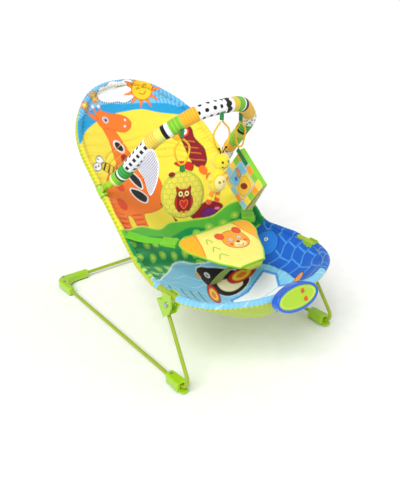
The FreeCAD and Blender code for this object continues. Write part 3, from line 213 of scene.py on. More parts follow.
class Print:
    """Colours painted one over another on flat coordinates in millimetres."""

    def __init__(self, x, y, ground):
        self.x = x.ravel()
        self.y = y.ravel()
        self.rgb = np.tile(linear(ground), (self.x.size, 1))

    def lay(self, mask, colour, where=None):
        mask = np.clip(mask, 0, 1)[:, None]
        tone = linear(colour)
        if where is None:
            self.rgb += (tone - self.rgb) * mask
        else:
            self.rgb[where] += (tone - self.rgb[where]) * mask

    def near(self, points, reach):
        lo = points.min(0) - reach
        hi = points.max(0) + reach
        return np.where((self.x > lo[0]) & (self.x < hi[0])
                        & (self.y > lo[1]) & (self.y < hi[1]))[0]

    def gap(self, where, points, closed):
        """Distance to a line, and which points it encloses."""
        px, py = self.x[where], self.y[where]
        best = np.full(px.size, 1e9)
        inside = np.zeros(px.size, bool)
        last = len(points) if closed else len(points) - 1
        for i in range(last):
            ax, ay = points[i]
            bx, by = points[(i + 1) % len(points)]
            dx, dy = bx - ax, by - ay
            size = max(dx * dx + dy * dy, 1e-9)
            t = np.clip(((px - ax) * dx + (py - ay) * dy) / size, 0, 1)
            best = np.minimum(best, (px - ax - t * dx) ** 2 + (py - ay - t * dy) ** 2)
            if closed and ay != by:
                inside ^= ((ay > py) != (by > py)) & (px < dx * (py - ay) / dy + ax)
        return np.sqrt(best), inside

    def fill(self, signed, colour, edge, width, where=None):
        """Lays an edge and then the colour by the distance to a shape, negative inside it."""
        if edge is not None:
            self.lay((width - signed) / AREA_BLUR + 0.5, edge, where)
        self.lay(0.5 - signed / AREA_BLUR, colour, where)

    def area(self, points, colour, edge=None, width=2.0, smooth=True):
        line = smooth_line(points, closed=True) if smooth else np.array(points, float)
        where = self.near(line, width + 2)
        if where.size == 0:
            return
        gap, inside = self.gap(where, line, True)
        signed = np.where(inside, -gap, gap)
        self.fill(signed, colour, edge, width, where)

    def spot(self, x, y, rx, ry, colour, turn=0.0, edge=None, width=2.0):
        c, s = math.cos(math.radians(turn)), math.sin(math.radians(turn))
        dx, dy = self.x - x, self.y - y
        u, v = dx * c + dy * s, dy * c - dx * s
        size = np.sqrt((u / rx) ** 2 + (v / ry) ** 2)
        self.fill((size - 1) * min(rx, ry), colour, edge, width)

    def line(self, points, width, colour, smooth=True, dash=None):
        path = smooth_line(points) if smooth and len(points) > 2 else np.array(points, float)
        if dash is not None:
            for x, y in even(path, dash):
                self.spot(x, y, width / 2, width / 2, colour)
            return
        where = self.near(path, width)
        if where.size:
            gap, _ = self.gap(where, path, False)
            self.lay((width / 2 - gap) / LINE_BLUR + 0.5, colour, where)

    def rays(self, x, y, inner, outer, count, colour, edge):
        for k in range(count):
            a = 2 * math.pi * (k + 0.5) / count
            b = math.pi / count * 0.72
            tri = [(x + inner * math.cos(a - b), y + inner * math.sin(a - b)),
                   (x + outer * math.cos(a), y + outer * math.sin(a)),
                   (x + inner * math.cos(a + b), y + inner * math.sin(a + b))]
            self.area(tri, colour, edge, 1.4, smooth=False)

    def flower(self, x, y, r, petal, heart, edge, count=6):
        for k in range(count):
            a = 2 * math.pi * k / count
            self.spot(x + r * 0.62 * math.cos(a), y + r * 0.62 * math.sin(a), r * 0.42, r * 0.42,
                      petal, edge=edge, width=1.2)
        self.spot(x, y, r * 0.42, r * 0.42, heart)

    def eye(self, x, y, r):
        self.spot(x, y, r, r, WHITE, edge=BLACK, width=1.0)
        self.spot(x, y, r * 0.55, r * 0.55, BLACK)
        self.spot(x + r * 0.2, y + r * 0.2, r * 0.2, r * 0.2, WHITE)

    def result(self):
        return opaque(np.clip(self.rgb, 0, 1))


SEWN_LINES = (533.0, 515.0, 499.0, 479.0)       # places along the cover of its sewn channels


def sewn_line(base, x):
    """A sewn channel's place along the cover, arched a little and wavering as it is sewn."""
    return base - 0.0036 * x ** 2 + 2.2 * np.sin(x / 9.0)


def paint_cover(x, s, tone):
    """Sky, giraffe, hills, water and small animals; x is across and s along the cover."""
    p = Print(x, s, tone["ground"])
    orange, red, maroon = (0.95, 0.47, 0.11), (0.87, 0.28, 0.08), (0.55, 0.05, 0.12)
    teal, lime = (0.04, 0.58, 0.30), (0.55, 0.82, 0.28)
    deep, water, foam = (0.05, 0.36, 0.76), (0.50, 0.78, 0.92), (0.30, 0.64, 0.93)
    floe_line, fish = (0.60, 0.80, 0.92), (0.96, 0.60, 0.12)
    p.area([(-290, 470), (-210, 500), (-160, 531), (-135, 560), (-85, 588), (-22, 604), (37, 601),
            (81, 578), (148, 547), (210, 520), (290, 500), (290, 760), (-290, 760)],
           tone["sky_deep"])
    p.area([(-290, 540), (-190, 560), (-133, 592), (-79, 621), (-33, 628), (43, 616), (102, 596),
            (134, 576), (200, 550), (290, 540), (290, 760), (-290, 760)], tone["sky"])
    for k in range(11):
        x0, fall = 82 + k * 8, k * 5
        for ends in ([(-x0, 624 - fall), (-x0 - 14, 676 - fall)],
                     [(x0, 600 - fall), (x0 + 16, 668 - fall)]):
            p.line(ends, 1.7, (0.20, 0.55, 0.82))
    cloud = [(-64, 648), (-50, 664), (-32, 667), (-16, 676), (8, 672), (30, 676), (42, 664),
             (46, 642), (32, 632), (9, 626), (-12, 631), (-33, 630), (-56, 636)]
    p.area(cloud, WHITE)
    p.line(smooth_line(cloud + cloud[:1]).tolist(), 3.4, BLACK, smooth=False, dash=6.0)
    p.rays(60, 645, 20, 46, 11, (0.96, 0.60, 0.12), red)
    p.spot(60, 645, 24, 24, (0.99, 0.80, 0.15), edge=red, width=2.4)
    for ex in (52, 68):
        p.line([(ex - 4, 650), (ex, 653), (ex + 4, 650)], 1.6, BLACK)
    p.line([(51, 640), (60, 634), (69, 640)], 1.8, BLACK)
    for fx, fy in ((-72, 645), (-108, 624), (-96, 660)):
        p.flower(fx, fy, 12, (0.88, 0.66, 0.42), (0.95, 0.86, 0.40), (0.55, 0.30, 0.12))
    # giraffe
    p.area([(-92, 470), (-60, 480), (-20, 464), (4, 434), (4, 400), (-4, 368), (-30, 352),
            (-60, 346), (-84, 342), (-92, 298), (-112, 292), (-120, 336), (-134, 340),
            (-140, 300), (-158, 304), (-166, 336), (-163, 372), (-150, 412), (-126, 448)],
           orange, red, 2.0)
    p.area([(-82, 584), (-60, 584), (-50, 552), (-43, 520), (-34, 486), (-12, 466), (-30, 440),
            (-90, 450), (-86, 486), (-79, 536)], orange, red, 1.4)
    p.area([(-86, 600), (-72, 612), (-44, 603), (-22, 598), (-6, 590), (0, 576), (-8, 562),
            (-28, 554), (-48, 559), (-62, 566), (-80, 568), (-88, 584)], orange, red, 1.4)
    for hx in (-82, -66):
        p.line([(hx, 606), (hx - 2, 622)], 4.4, orange)
        p.spot(hx - 2, 624, 4.0, 4.0, WHITE, edge=red, width=1.0)
    p.area([(-90, 602), (-104, 610), (-99, 594), (-86, 590)], orange, red, 1.2)
    p.spot(-65, 589, 6.5, 6.5, (0.62, 0.70, 0.80), edge=WHITE, width=1.4)
    p.spot(-64, 588, 3.0, 3.0, BLACK)
    for nx, ny in ((-12, 584), (-20, 568)):
        p.spot(nx, ny, 2.8, 2.8, WHITE)
    p.spot(-60, 519, 9, 13, BLACK, 18, WHITE, 3.0)
    p.spot(-58, 484, 11, 15, (0.62, 0.10, 0.06), 10)
    for patch in ([(-72, 452), (-56, 448), (-46, 428), (-52, 408), (-66, 424)],
                  [(-84, 408), (-62, 402), (-50, 384), (-62, 372), (-80, 386)]):
        p.area(patch, BLACK, WHITE, 3.0)
    for sx, sy in ((-112, 420), (-26, 420), (-130, 372)):
        p.spot(sx, sy, 12, 16, red, 10)
    for up in range(0, 48, 12):
        p.line([(-160, 314 + up), (-140, 310 + up)], 4.0, red)
        p.line([(-118, 306 + up), (-92, 306 + up)], 4.0, red)
    p.line([(-20, 362), (-6, 340), (-3, 318)], 4.0, maroon)
    p.spot(-2, 310, 5, 8, BLACK)
    # bee
    p.spot(-132, 484, 14, 9, WHITE, 60, BLACK, 1.4)
    p.spot(-146, 470, 13, 8, WHITE, 20, BLACK, 1.4)
    for dx, dy in ((-134, 490), (-128, 480), (-150, 470), (-142, 472)):
        p.spot(dx, dy, 2.2, 2.2, BLACK)
    p.spot(-116, 464, 19, 13, (0.95, 0.80, 0.15), -35, BLACK, 1.6)
    for k in (-1, 0, 1):
        bx, by = -116 + k * 9, 464 - k * 6.5
        p.line([(bx - 7, by - 9), (bx + 7, by + 9)], 4.0, BLACK)
    p.spot(-98, 451, 7, 7, BLACK)
    for feeler in ([(-94, 456), (-82, 462)], [(-96, 458), (-90, 472)]):
        p.line(feeler, 1.6, BLACK)
    # parrot and bird
    p.area([(96, 520), (108, 536), (126, 532), (134, 514), (130, 486), (138, 456), (130, 424),
            (114, 412), (100, 424), (98, 452), (100, 486)], maroon, BLACK, 1.6)
    p.area([(96, 430), (76, 444), (58, 446), (74, 426), (88, 414)], (0.80, 0.12, 0.10), BLACK,
           1.4)
    p.spot(113, 514, 9, 9, WHITE, edge=(0.90, 0.30, 0.12), width=4.5)
    p.spot(113, 514, 4.0, 4.0, BLACK)
    p.area([(97, 512), (84, 508), (90, 498), (98, 500)], BEAK, BLACK, 1.2)
    p.area([(34, 324), (46, 338), (66, 328), (86, 328), (104, 318), (112, 304), (94, 296),
            (74, 290), (52, 292), (40, 304)], maroon, BLACK, 1.6)
    p.area([(60, 306), (78, 314), (98, 304), (84, 294), (66, 296)], (0.42, 0.10, 0.42), BLACK, 1.2)
    p.spot(99, 304, 6, 3.4, (0.93, 0.45, 0.60), -25)
    p.spot(45, 324, 4.4, 4.4, WHITE, edge=BLACK, width=1.0)
    p.spot(45, 324, 2.0, 2.0, BLACK)
    p.area([(32, 324), (20, 319), (33, 313)], BEAK, smooth=False)
    for sx, sy in ((118, 379), (112, 404)):
        p.spot(sx, sy, 8, 11, orange, edge=red, width=1.4)
    # a darker gold line along each sewn channel: painted shade in the channel's groove
    for base in SEWN_LINES:
        for way in (-1, 1):
            xs = np.linspace(way * 126, way * 20, 30)
            p.line(np.stack([xs, sewn_line(base, xs)], 1), 1.3, (0.84, 0.68, 0.12), smooth=False)
    # hills, hollow and water
    p.area([(-290, 300), (-215, 312), (-160, 304), (-110, 312), (-60, 300), (-20, 312), (30, 303),
            (80, 290), (130, 300), (180, 290), (290, 300), (290, 120), (-290, 120)],
           tone["hill"], (0.80, 0.90, 0.30), 3.0)
    p.area([(-290, 282), (-200, 288), (-150, 280), (-100, 288), (-40, 280), (20, 288), (80, 262),
            (140, 270), (200, 262), (290, 270), (290, 150), (-290, 150)], teal)
    rng = np.random.RandomState(4)
    for gx in range(-186, 200, 31):
        for gy in range(160, 284, 27):
            ox, oy = rng.uniform(-5, 5, 2)
            p.spot(gx + ox, gy + oy, 9.5, 8.5, lime)
            p.spot(gx + ox, gy + oy, 4.0, 3.4, (0.80, 0.90, 0.35))
    p.area([(-290, 150), (-186, 148), (-132, 184), (-98, 206), (-69, 223), (-40, 226), (-12, 219),
            (20, 212), (80, 204), (148, 208), (172, 214), (290, 220), (290, -90), (-290, -90)],
           water, (0.90, 0.97, 0.99), 3.0)
    for wy in range(-30, 200, 22):
        p.line([(x0, wy + 5 * math.sin(x0 / 11.0 + wy)) for x0 in range(-180, 190, 12)], 1.3,
               (0.75, 0.90, 0.97))
    # ice floe with a starfish
    p.area([(-30, -32), (-80, -10), (-52, 16), (-40, 62), (-8, 96), (2, 122), (40, 116), (92, 128),
            (100, 100), (80, 70), (96, 40), (60, 24), (50, -16), (14, -10)], WHITE,
           (0.25, 0.58, 0.90), 5.0, smooth=False)
    p.line([(-8, 96), (30, 84), (80, 70)], 2.0, floe_line)
    p.line([(-52, 16), (0, 26), (60, 24)], 2.0, floe_line)
    p.flower(30, 52, 13, (0.86, 0.70, 0.48), (0.86, 0.70, 0.48), (0.60, 0.42, 0.22), 5)
    # penguin on its front, wings spread
    p.area([(-24, 204), (-8, 212), (10, 206), (30, 196), (52, 176), (66, 156), (62, 138), (36, 130),
            (6, 136), (-16, 154), (-26, 176)], BLACK, WHITE, 1.6)
    p.area([(6, 176), (30, 168), (50, 152), (44, 140), (20, 142), (2, 158)], (0.95, 0.90, 0.74))
    p.eye(-4, 194, 6.0)
    p.area([(-22, 202), (-38, 198), (-24, 190)], (0.96, 0.66, 0.10), smooth=False)
    for wx, wy, turn in ((-30, 146, 58), (58, 158, -14)):
        for k, shade in enumerate(((0.86, 0.10, 0.08), (0.98, 0.84, 0.18), (0.95, 0.48, 0.08))):
            p.spot(wx, wy, 30 - k * 9, 13 - k * 4.0, shade, turn, BLACK if k == 0 else None, 1.2)
    # tortoise at the right, reeds at the left
    p.area([(100, 206), (140, 216), (200, 214), (220, 150), (214, 60), (196, -20), (150, -46),
            (112, -20), (106, 30), (116, 80), (112, 130), (96, 164)], deep, NAVY, 2.0)
    for k in range(8):
        y0 = -24 + k * 30
        for mesh_line in ([(110, y0 + 8), (136, y0 - 3), (164, y0 + 9), (206, y0 - 2)],
                          [(136, y0 - 3), (134 + (k % 2) * 8, y0 + 25)],
                          [(164, y0 + 9), (168, y0 + 33)]):
            p.line(mesh_line, 2.2, foam)
    p.area([(124, 150), (112, 172), (120, 196), (146, 202), (166, 186), (162, 160), (144, 146)],
           (0.10, 0.48, 0.86), NAVY, 2.0)
    for ex in (128, 146):
        p.eye(ex, 180, 4.0)
    for rx in (-150, -120, -96, -74):
        p.line([(rx, 60), (rx + 6, 90), (rx - 2, 118), (rx + 5, 150)], 5.0, (0.05, 0.62, 0.62))
        p.line([(rx + 14, 50), (rx + 10, 80), (rx + 18, 104)], 4.0, (0.30, 0.75, 0.35))
    for fx, fy in ((-120, 20), (-60, 78), (110, 40)):
        p.spot(fx, fy, 13, 7, fish, 10, BLACK, 1.2)
        p.area([(fx - 12, fy), (fx - 21, fy + 7), (fx - 21, fy - 7)], fish, BLACK, 1.0)
        p.eye(fx + 7, fy + 1, 2.4)
    return p.result()


# ---------------------------------------------------------------- materials
def node_group(name, inputs, outputs):
    group = bpy.data.node_groups.new(name, "ShaderNodeTree")
    for label, default in inputs:
        socket = group.interface.new_socket(name=label, in_out="INPUT",
                                            socket_type="NodeSocketFloat")
        socket.default_value = default
    for label in outputs:
        group.interface.new_socket(name=label, in_out="OUTPUT", socket_type="NodeSocketFloat")
    return group, group.nodes.new("NodeGroupInput"), group.nodes.new("NodeGroupOutput")


def feed(tree, value, socket):
    """Sets a number on the socket, or links another node's output to it."""
    if isinstance(value, (int, float)):
        socket.default_value = value
    else:
        tree.links.new(value, socket)


def math_node(tree, operation, a, b):
    node = tree.nodes.new("ShaderNodeMath")
    node.operation = operation
    feed(tree, a, node.inputs[0])
    feed(tree, b, node.inputs[1])
    return node.outputs[0]


def noise_node(tree, vector, scale, detail=3.0):
    node = tree.nodes.new("ShaderNodeTexNoise")
    node.inputs["Detail"].default_value = detail
    tree.links.new(vector, node.inputs["Vector"])
    feed(tree, scale, node.inputs["Scale"])
    return node.outputs["Fac"]


def cloth_weave():
    """Crossed threads, slubs and a soft unevenness in the dye."""
    group, given, out = node_group("cloth_weave", [("Threads", 900.0), ("Unevenness", 0.10)],
                                   ["Shade", "Height", "Rough"])
    where = group.nodes.new("ShaderNodeTexCoord").outputs["Object"]
    bands = []
    for direction in ("X", "DIAGONAL"):
        wave = group.nodes.new("ShaderNodeTexWave")
        wave.bands_direction = direction
        wave.inputs["Distortion"].default_value = 1.2
        wave.inputs["Detail"].default_value = 1.0
        group.links.new(where, wave.inputs["Vector"])
        group.links.new(math_node(group, "MULTIPLY", given.outputs["Threads"], 0.16),
                        wave.inputs["Scale"])
        bands.append(wave.outputs["Fac"])
    weave = math_node(group, "MAXIMUM", bands[0], bands[1])
    slub = noise_node(group, where, 60.0, 4.0)
    fine = noise_node(group, where, given.outputs["Threads"], 2.0)
    dye = math_node(group, "MULTIPLY", math_node(group, "SUBTRACT", slub, 0.5),
                    given.outputs["Unevenness"])
    thread = math_node(group, "MULTIPLY", math_node(group, "SUBTRACT", weave, 0.5), 0.07)
    shade = math_node(group, "ADD", math_node(group, "ADD", dye, thread), 0.97)
    group.links.new(shade, out.inputs["Shade"])
    group.links.new(math_node(group, "ADD", weave, fine), out.inputs["Height"])
    rough = math_node(group, "ADD", math_node(group, "MULTIPLY", slub, 0.16), 0.72)
    group.links.new(rough, out.inputs["Rough"])
    return group


def moulded_grain():
    """Fine grain of moulded or coated parts, with faint handling marks."""
    group, given, out = node_group("moulded_grain", [("Grain", 700.0), ("Gloss", 0.30)],
                                   ["Shade", "Height", "Rough"])
    where = group.nodes.new("ShaderNodeTexCoord").outputs["Object"]
    fine = noise_node(group, where, given.outputs["Grain"], 2.0)
    broad = noise_node(group, where, 26.0, 5.0)
    tint = math_node(group, "MULTIPLY", math_node(group, "SUBTRACT", broad, 0.5), 0.10)
    group.links.new(math_node(group, "ADD", tint, 0.98), out.inputs["Shade"])
    group.links.new(math_node(group, "ADD", fine, math_node(group, "MULTIPLY", broad, 0.6)),
                    out.inputs["Height"])
    marks = math_node(group, "MULTIPLY", broad, 0.18)
    group.links.new(math_node(group, "ADD", marks, given.outputs["Gloss"]), out.inputs["Rough"])
    return group


GROUPS = {}


def shared(build):
    """The node group that a function builds, built once."""
    if build not in GROUPS:
        GROUPS[build] = build()
    return GROUPS[build]


PRINT_PREVIEW = (0.8, 0.8, 0.3, 1)      # viewport colour of printed cloth
GRAIN_DEPTH = 0.0004                    # metres


def finish_material(name, group, settings, colour, bump, fixed):
    """A material whose grain comes from a shared group; colour None reads the print attribute."""
    material = bpy.data.materials.new(name)
    material.use_nodes = True
    tree = material.node_tree
    shader = tree.nodes["Principled BSDF"]
    effect = tree.nodes.new("ShaderNodeGroup")
    effect.node_tree = shared(group)
    for label, value in settings.items():
        effect.inputs[label].default_value = value
    mix = tree.nodes.new("ShaderNodeMix")
    mix.data_type = "RGBA"
    mix.blend_type = "MULTIPLY"
    mix.inputs[0].default_value = 1.0
    if colour is None:
        source = tree.nodes.new("ShaderNodeAttribute")
        source.attribute_name = "print"
        tree.links.new(source.outputs["Color"], mix.inputs[6])
        material.diffuse_color = PRINT_PREVIEW
    else:
        mix.inputs[6].default_value = (*linear(colour), 1)
        material.diffuse_color = (*linear(colour), 1)
    tree.links.new(effect.outputs["Shade"], mix.inputs[7])
    tree.links.new(mix.outputs[2], shader.inputs["Base Color"])
    tree.links.new(effect.outputs["Rough"], shader.inputs["Roughness"])
    relief = tree.nodes.new("ShaderNodeBump")
    relief.inputs["Strength"].default_value = bump
    relief.inputs["Distance"].default_value = GRAIN_DEPTH
    tree.links.new(effect.outputs["Height"], relief.inputs["Height"])
    tree.links.new(relief.outputs["Normal"], shader.inputs["Normal"])
    for label, value in fixed.items():
        shader.inputs[label].default_value = value
    return material


def cloth(name, colour=None, threads=900.0, bump=0.35, sheen=0.25):
    return finish_material(name, cloth_weave, {"Threads": threads}, colour, bump,
                           {"Sheen Weight": sheen, "Sheen Roughness": 0.5,
                            "Specular IOR Level": 0.25})


def moulded(name, colour, gloss=0.24, grain=700.0, bump=0.06, metallic=0.0, coat=0.0):
    return finish_material(name, moulded_grain, {"Grain": grain, "Gloss": gloss}, colour, bump,
                           {"Metallic": metallic, "Coat Weight": coat, "Coat Roughness": 0.12})


# ---------------------------------------------------------------- making pieces
def print_on(mesh, colours):
    layer = mesh.attributes.new("print", "FLOAT_COLOR", "POINT")
    layer.data.foreach_set("color", np.asarray(colours, float).ravel())


def mesh_piece(name, verts, faces, material, colours=None):
    """A piece from points in bench millimetres and its faces."""
    mesh = bpy.data.meshes.new(name)
    mesh.from_pydata(row(np.asarray(verts, float).reshape(-1, 3)).tolist(), [], faces)
    mesh.validate()
    mesh.polygons.foreach_set("use_smooth", [True] * len(mesh.polygons))
    if colours is not None:
        print_on(mesh, colours)
    mesh.materials.append(material)
    mesh.update()
    piece = bpy.data.objects.new(name, mesh)
    bpy.context.scene.collection.objects.link(piece)
    return piece


def settle(piece, body, nodes=()):
    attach(piece, body)
    if nodes:
        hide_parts(*nodes)
    return piece


def frames(path):
    """Two directions across a line that turn as little as they can."""
    along = np.gradient(path, axis=0)
    along /= np.linalg.norm(along, axis=1, keepdims=True)
    start = np.array([0.0, 0.0, 1.0]) if abs(along[0][2]) < 0.9 else np.array([1.0, 0.0, 0.0])
    side = start - along[0] * (start @ along[0])
    sides = []
    for t in along:
        side = side - t * (side @ t)
        side = side / np.linalg.norm(side)
        sides.append(side)
    sides = np.array(sides)
    return sides, np.cross(along, sides)


def tube_points(path, radii, around):
    """Points round a line; radii is one number or a value for every point."""
    side, other = frames(path)
    turn = np.linspace(0, 2 * math.pi, around, endpoint=False)
    ring = (np.cos(turn)[None, :, None] * side[:, None, :]
            + np.sin(turn)[None, :, None] * other[:, None, :])
    return path[:, None, :] + ring * np.broadcast_to(radii, ring.shape[:2])[..., None]


def tube_faces(rows, around, start=0):
    """Faces of a tube with a cap at each end; start is its first point's number."""
    index = np.arange(rows * around).reshape(rows, around) + start
    nxt = np.roll(index, -1, axis=1)
    quads = np.stack([index[:-1], nxt[:-1], nxt[1:], index[1:]], -1).reshape(-1, 4).tolist()
    quads.append(index[0, ::-1].tolist())
    quads.append(index[-1].tolist())
    return quads


def closed_tube_faces(rows, around):
    """Faces of a tube that runs round into its own start."""
    index = np.arange(rows * around).reshape(rows, around)
    nxt = np.roll(index, -1, axis=1)
    return np.stack([index, nxt, np.roll(nxt, -1, axis=0), np.roll(index, -1, axis=0)],
                    -1).reshape(-1, 4).tolist()


def pillow(name, outline, thick, place, material, painter, rings=34, spokes=150, crown=2.4):
    """A stuffed shape with a sewn rim: outline in flat millimetres, painted on both faces."""
    line = smooth_line(outline, 10, closed=True) if len(outline) < 24 else np.array(outline, float)
    line = even(np.vstack([line, line[:1]]), 0.5)[:-1]
    line = line[np.linspace(0, len(line), spokes, endpoint=False).astype(int)]
    centre = line.mean(0)
    share = np.linspace(0, 1, rings + 1)[1:] ** 0.9
    flat = centre + (line - centre)[None] * share[:, None, None]
    height = thick / 2 * (1 - share ** crown) ** 0.55
    flat = np.vstack([centre[None], flat.reshape(-1, 2)])
    lift = np.r_[thick / 2, np.repeat(height, spokes)]
    lift = lift * (1 + 0.05 * ripple(flat[:, 0] / 9, flat[:, 1] / 9, 11))
    count = len(flat)
    front = place(flat[:, 0], flat[:, 1], lift)
    rear = place(flat[:, 0], flat[:, 1], -lift)
    index = 1 + np.arange(rings * spokes).reshape(rings, spokes)
    nxt = np.roll(index, -1, axis=1)
    faces = [[0, int(index[0, k]), int(nxt[0, k])] for k in range(spokes)]
    faces += np.stack([index[:-1], index[1:], nxt[1:], nxt[:-1]], -1).reshape(-1, 4).tolist()
    faces += [[i + count for i in reversed(f)] for f in faces]
    rim, rim_next = index[-1], nxt[-1]
    faces += np.stack([rim, rim + count, rim_next + count, rim_next], -1).tolist()
    colours = np.vstack([painter(flat[:, 0], flat[:, 1], face) for face in (True, False)])
    return mesh_piece(name, np.vstack([front, rear]), faces, material, colours)


CREASE_ANGLE = math.radians(35.0)       # sharper edges than this stay crisp


def deselect():
    bpy.ops.object.select_all(action="DESELECT")


def primitive(kind, **options):
    deselect()
    getattr(bpy.ops.mesh, "primitive_%s_add" % kind)(**options)
    return bpy.context.active_object


def edit(piece, test=None):
    """Opens the piece in edit mode with the faces that pass the test selected."""
    bpy.ops.object.mode_set(mode="EDIT")
    bpy.ops.mesh.select_mode(type="FACE")
    bpy.ops.mesh.select_all(action="SELECT" if test is None else "DESELECT")
    if test is not None:
        bpy.ops.object.mode_set(mode="OBJECT")
        for face in piece.data.polygons:
            face.select = bool(test(face))
        bpy.ops.object.mode_set(mode="EDIT")


def stretch(piece, value, test=None):
    """Scales the piece, or only its faces that pass the test."""
    edit(piece, test)
    bpy.ops.transform.resize(value=value)
    bpy.ops.object.mode_set(mode="OBJECT")


def done(piece, bevel=0.0, segments=2):
    """Leaves edit mode, softens the edges and sets the piece's place into its mesh."""
    if piece.mode == "EDIT":
        bpy.ops.object.mode_set(mode="OBJECT")
    deselect()
    piece.select_set(True)
    bpy.context.view_layer.objects.active = piece
    if bevel:
        soften = piece.modifiers.new("soft edges", "BEVEL")
        soften.width = bevel
        soften.segments = segments
        soften.limit_method = "ANGLE"
        bpy.ops.object.modifier_apply(modifier=soften.name)
    bpy.ops.object.transform_apply(location=True, rotation=True, scale=True)
    bpy.ops.object.shade_smooth_by_angle(angle=CREASE_ANGLE)


def joined(pieces, name):
    deselect()
    for piece in pieces:
        piece.select_set(True)
    bpy.context.view_layer.objects.active = pieces[0]
    if len(pieces) > 1:
        bpy.ops.object.join()
    piece = bpy.context.active_object
    piece.name = name
    piece.data.name = name
    return piece


def painted(piece, material):
    piece.data.materials.clear()
    piece.data.materials.append(material)


# ---------------------------------------------------------------- settings
def size(name, text, default, low, high):
    return bpy.props.FloatProperty(name=name, description=text, default=default, min=low,
                                   max=high, unit="LENGTH", precision=4)


def tint(name, text, default):
    return bpy.props.FloatVectorProperty(name=name, description=text, default=default, min=0, max=1,
                                         size=3, subtype="COLOR_GAMMA")


class StageSettings(bpy.types.PropertyGroup):
    floor_tone: tint("Floor", "Colour of the floor", (0.97, 0.97, 0.97))
    lens: bpy.props.FloatProperty(name="Lens", description="Focal length of the camera",
                                  default=49.82, min=20, max=200, unit="CAMERA")
    light: bpy.props.FloatProperty(name="Light", description="Strength of the main light",
                                   default=2.5, min=0, max=20)


class HardwareSettings(bpy.types.PropertyGroup):
    rod: tint("Rods", "Powder coat of the base and legs", (0.60, 0.68, 0.10))
    plastic: tint("Plastic", "Feet, elbows, brackets and clips", (0.62, 0.80, 0.08))
    unit: tint("Unit", "Housing of the vibration unit", (0.02, 0.36, 0.80))
    face: tint("Face", "Front of the vibration unit", (0.66, 0.82, 0.12))
    button: tint("Buttons", "Push buttons", (0.92, 0.26, 0.05))


class CoverSettings(bpy.types.PropertyGroup):
    thickness: size("Thickness", "Thickness of the quilted cover", 0.005, 0.002, 0.008)
    gather: size("Gathers", "Height of the gathers beside the hem", 0.0022, 0.0, 0.004)
    ground: tint("Ground", "Main colour of the print", (0.95, 0.87, 0.26))
    sky: tint("Sky", "Pale sky of the print", (0.45, 0.77, 0.93))
    sky_deep: tint("Deep sky", "Lower band of the sky", (0.10, 0.62, 0.84))
    hill: tint("Hill", "Hills of the print", (0.35, 0.74, 0.22))
    hem: tint("Hem", "Elastic hem round the frame", (0.78, 0.82, 0.10))
    under: tint("Underside", "Lining under the seat", (0.70, 0.80, 0.20))


class HarnessSettings(bpy.types.PropertyGroup):
    thickness: size("Pad", "Thickness of the crotch pad", 0.011, 0.004, 0.016)
    webbing: tint("Webbing", "Waist straps", (0.42, 0.80, 0.12))
    pad: tint("Pad colour", "Front of the crotch pad", (0.93, 0.90, 0.45))
    piping: tint("Piping", "Cord round the crotch pad", (0.55, 0.80, 0.18))


class ToySettings(bpy.types.PropertyGroup):
    cord: size("Cord", "Diameter of the hanging cords", 0.0040, 0.002, 0.006)
    cord_tone: tint("Cord colour", "Hanging cords", (0.95, 0.74, 0.12))
    hook: tint("Hooks", "Moulded hooks and tabs", (0.03, 0.50, 0.20))
    disc: tint("Disc", "Stuffed disc", (0.88, 0.82, 0.29))
    plush: tint("Plush", "Stuffed creature", (0.97, 0.88, 0.10))


SETTINGS = {"bouncer_stage": StageSettings, "bouncer_hardware": HardwareSettings,
            "bouncer_cover": CoverSettings, "bouncer_harness": HarnessSettings,
            "bouncer_toys": ToySettings}


# ---------------------------------------------------------------- operators
CAMERA_AT = (-0.82580, -1.10498, 0.86773)
CAMERA_BACK = (-0.53685, -0.71134, 0.45364)
LIGHT_AIM = Vector((0, 0, 0.22))
FLOOR_SIZE, FLOOR_DROP = 60.0, 0.0005   # metres; the drop keeps the floor clear of the pads
WORLD_STRENGTH, FILL_SHARE = 0.52, 0.22


class BOUNCER_OT_stage(bpy.types.Operator):
    """Sets the floor, the studio light and the camera"""
    bl_idname = "bouncer.stage"
    bl_label = "Stage"

    def execute(self, context):
        settings = context.scene.bouncer_stage
        floor = primitive("plane", size=FLOOR_SIZE, location=(0, 0, -FLOOR_DROP))
        floor.name = "floor"
        painted(floor, moulded("floor_card", tuple(settings.floor_tone), gloss=0.75, bump=0.02))
        world = bpy.data.worlds.new("studio")
        world.use_nodes = True
        background = world.node_tree.nodes["Background"]
        background.inputs["Color"].default_value = (1, 1, 1, 1)
        background.inputs["Strength"].default_value = WORLD_STRENGTH
        context.scene.world = world
        lights = [("key", (-1.9, -1.0, 2.6), 38.0, settings.light),
                  ("fill", (2.2, -1.2, 1.5), 60.0, settings.light * FILL_SHARE)]
        for name, at, spread, strength in lights:
            lamp = bpy.data.lights.new(name, "SUN")
            lamp.angle = math.radians(spread)
            lamp.energy = strength
            holder = bpy.data.objects.new(name, lamp)
            holder.location = at
            aim = LIGHT_AIM - Vector(at)
            holder.rotation_euler = aim.to_track_quat("-Z", "Y").to_euler()
            context.scene.collection.objects.link(holder)
        camera = bpy.data.cameras.new("camera")
        camera.lens = settings.lens
        camera.sensor_width = 36.0
        camera.clip_start = 0.05
        holder = bpy.data.objects.new("camera", camera)
        holder.location = CAMERA_AT
        holder.rotation_euler = Vector(CAMERA_BACK).to_track_quat("Z", "Y").to_euler()
        context.scene.collection.objects.link(holder)
        context.scene.camera = holder
        context.scene.view_settings.view_transform = "Standard"
        return {"FINISHED"}


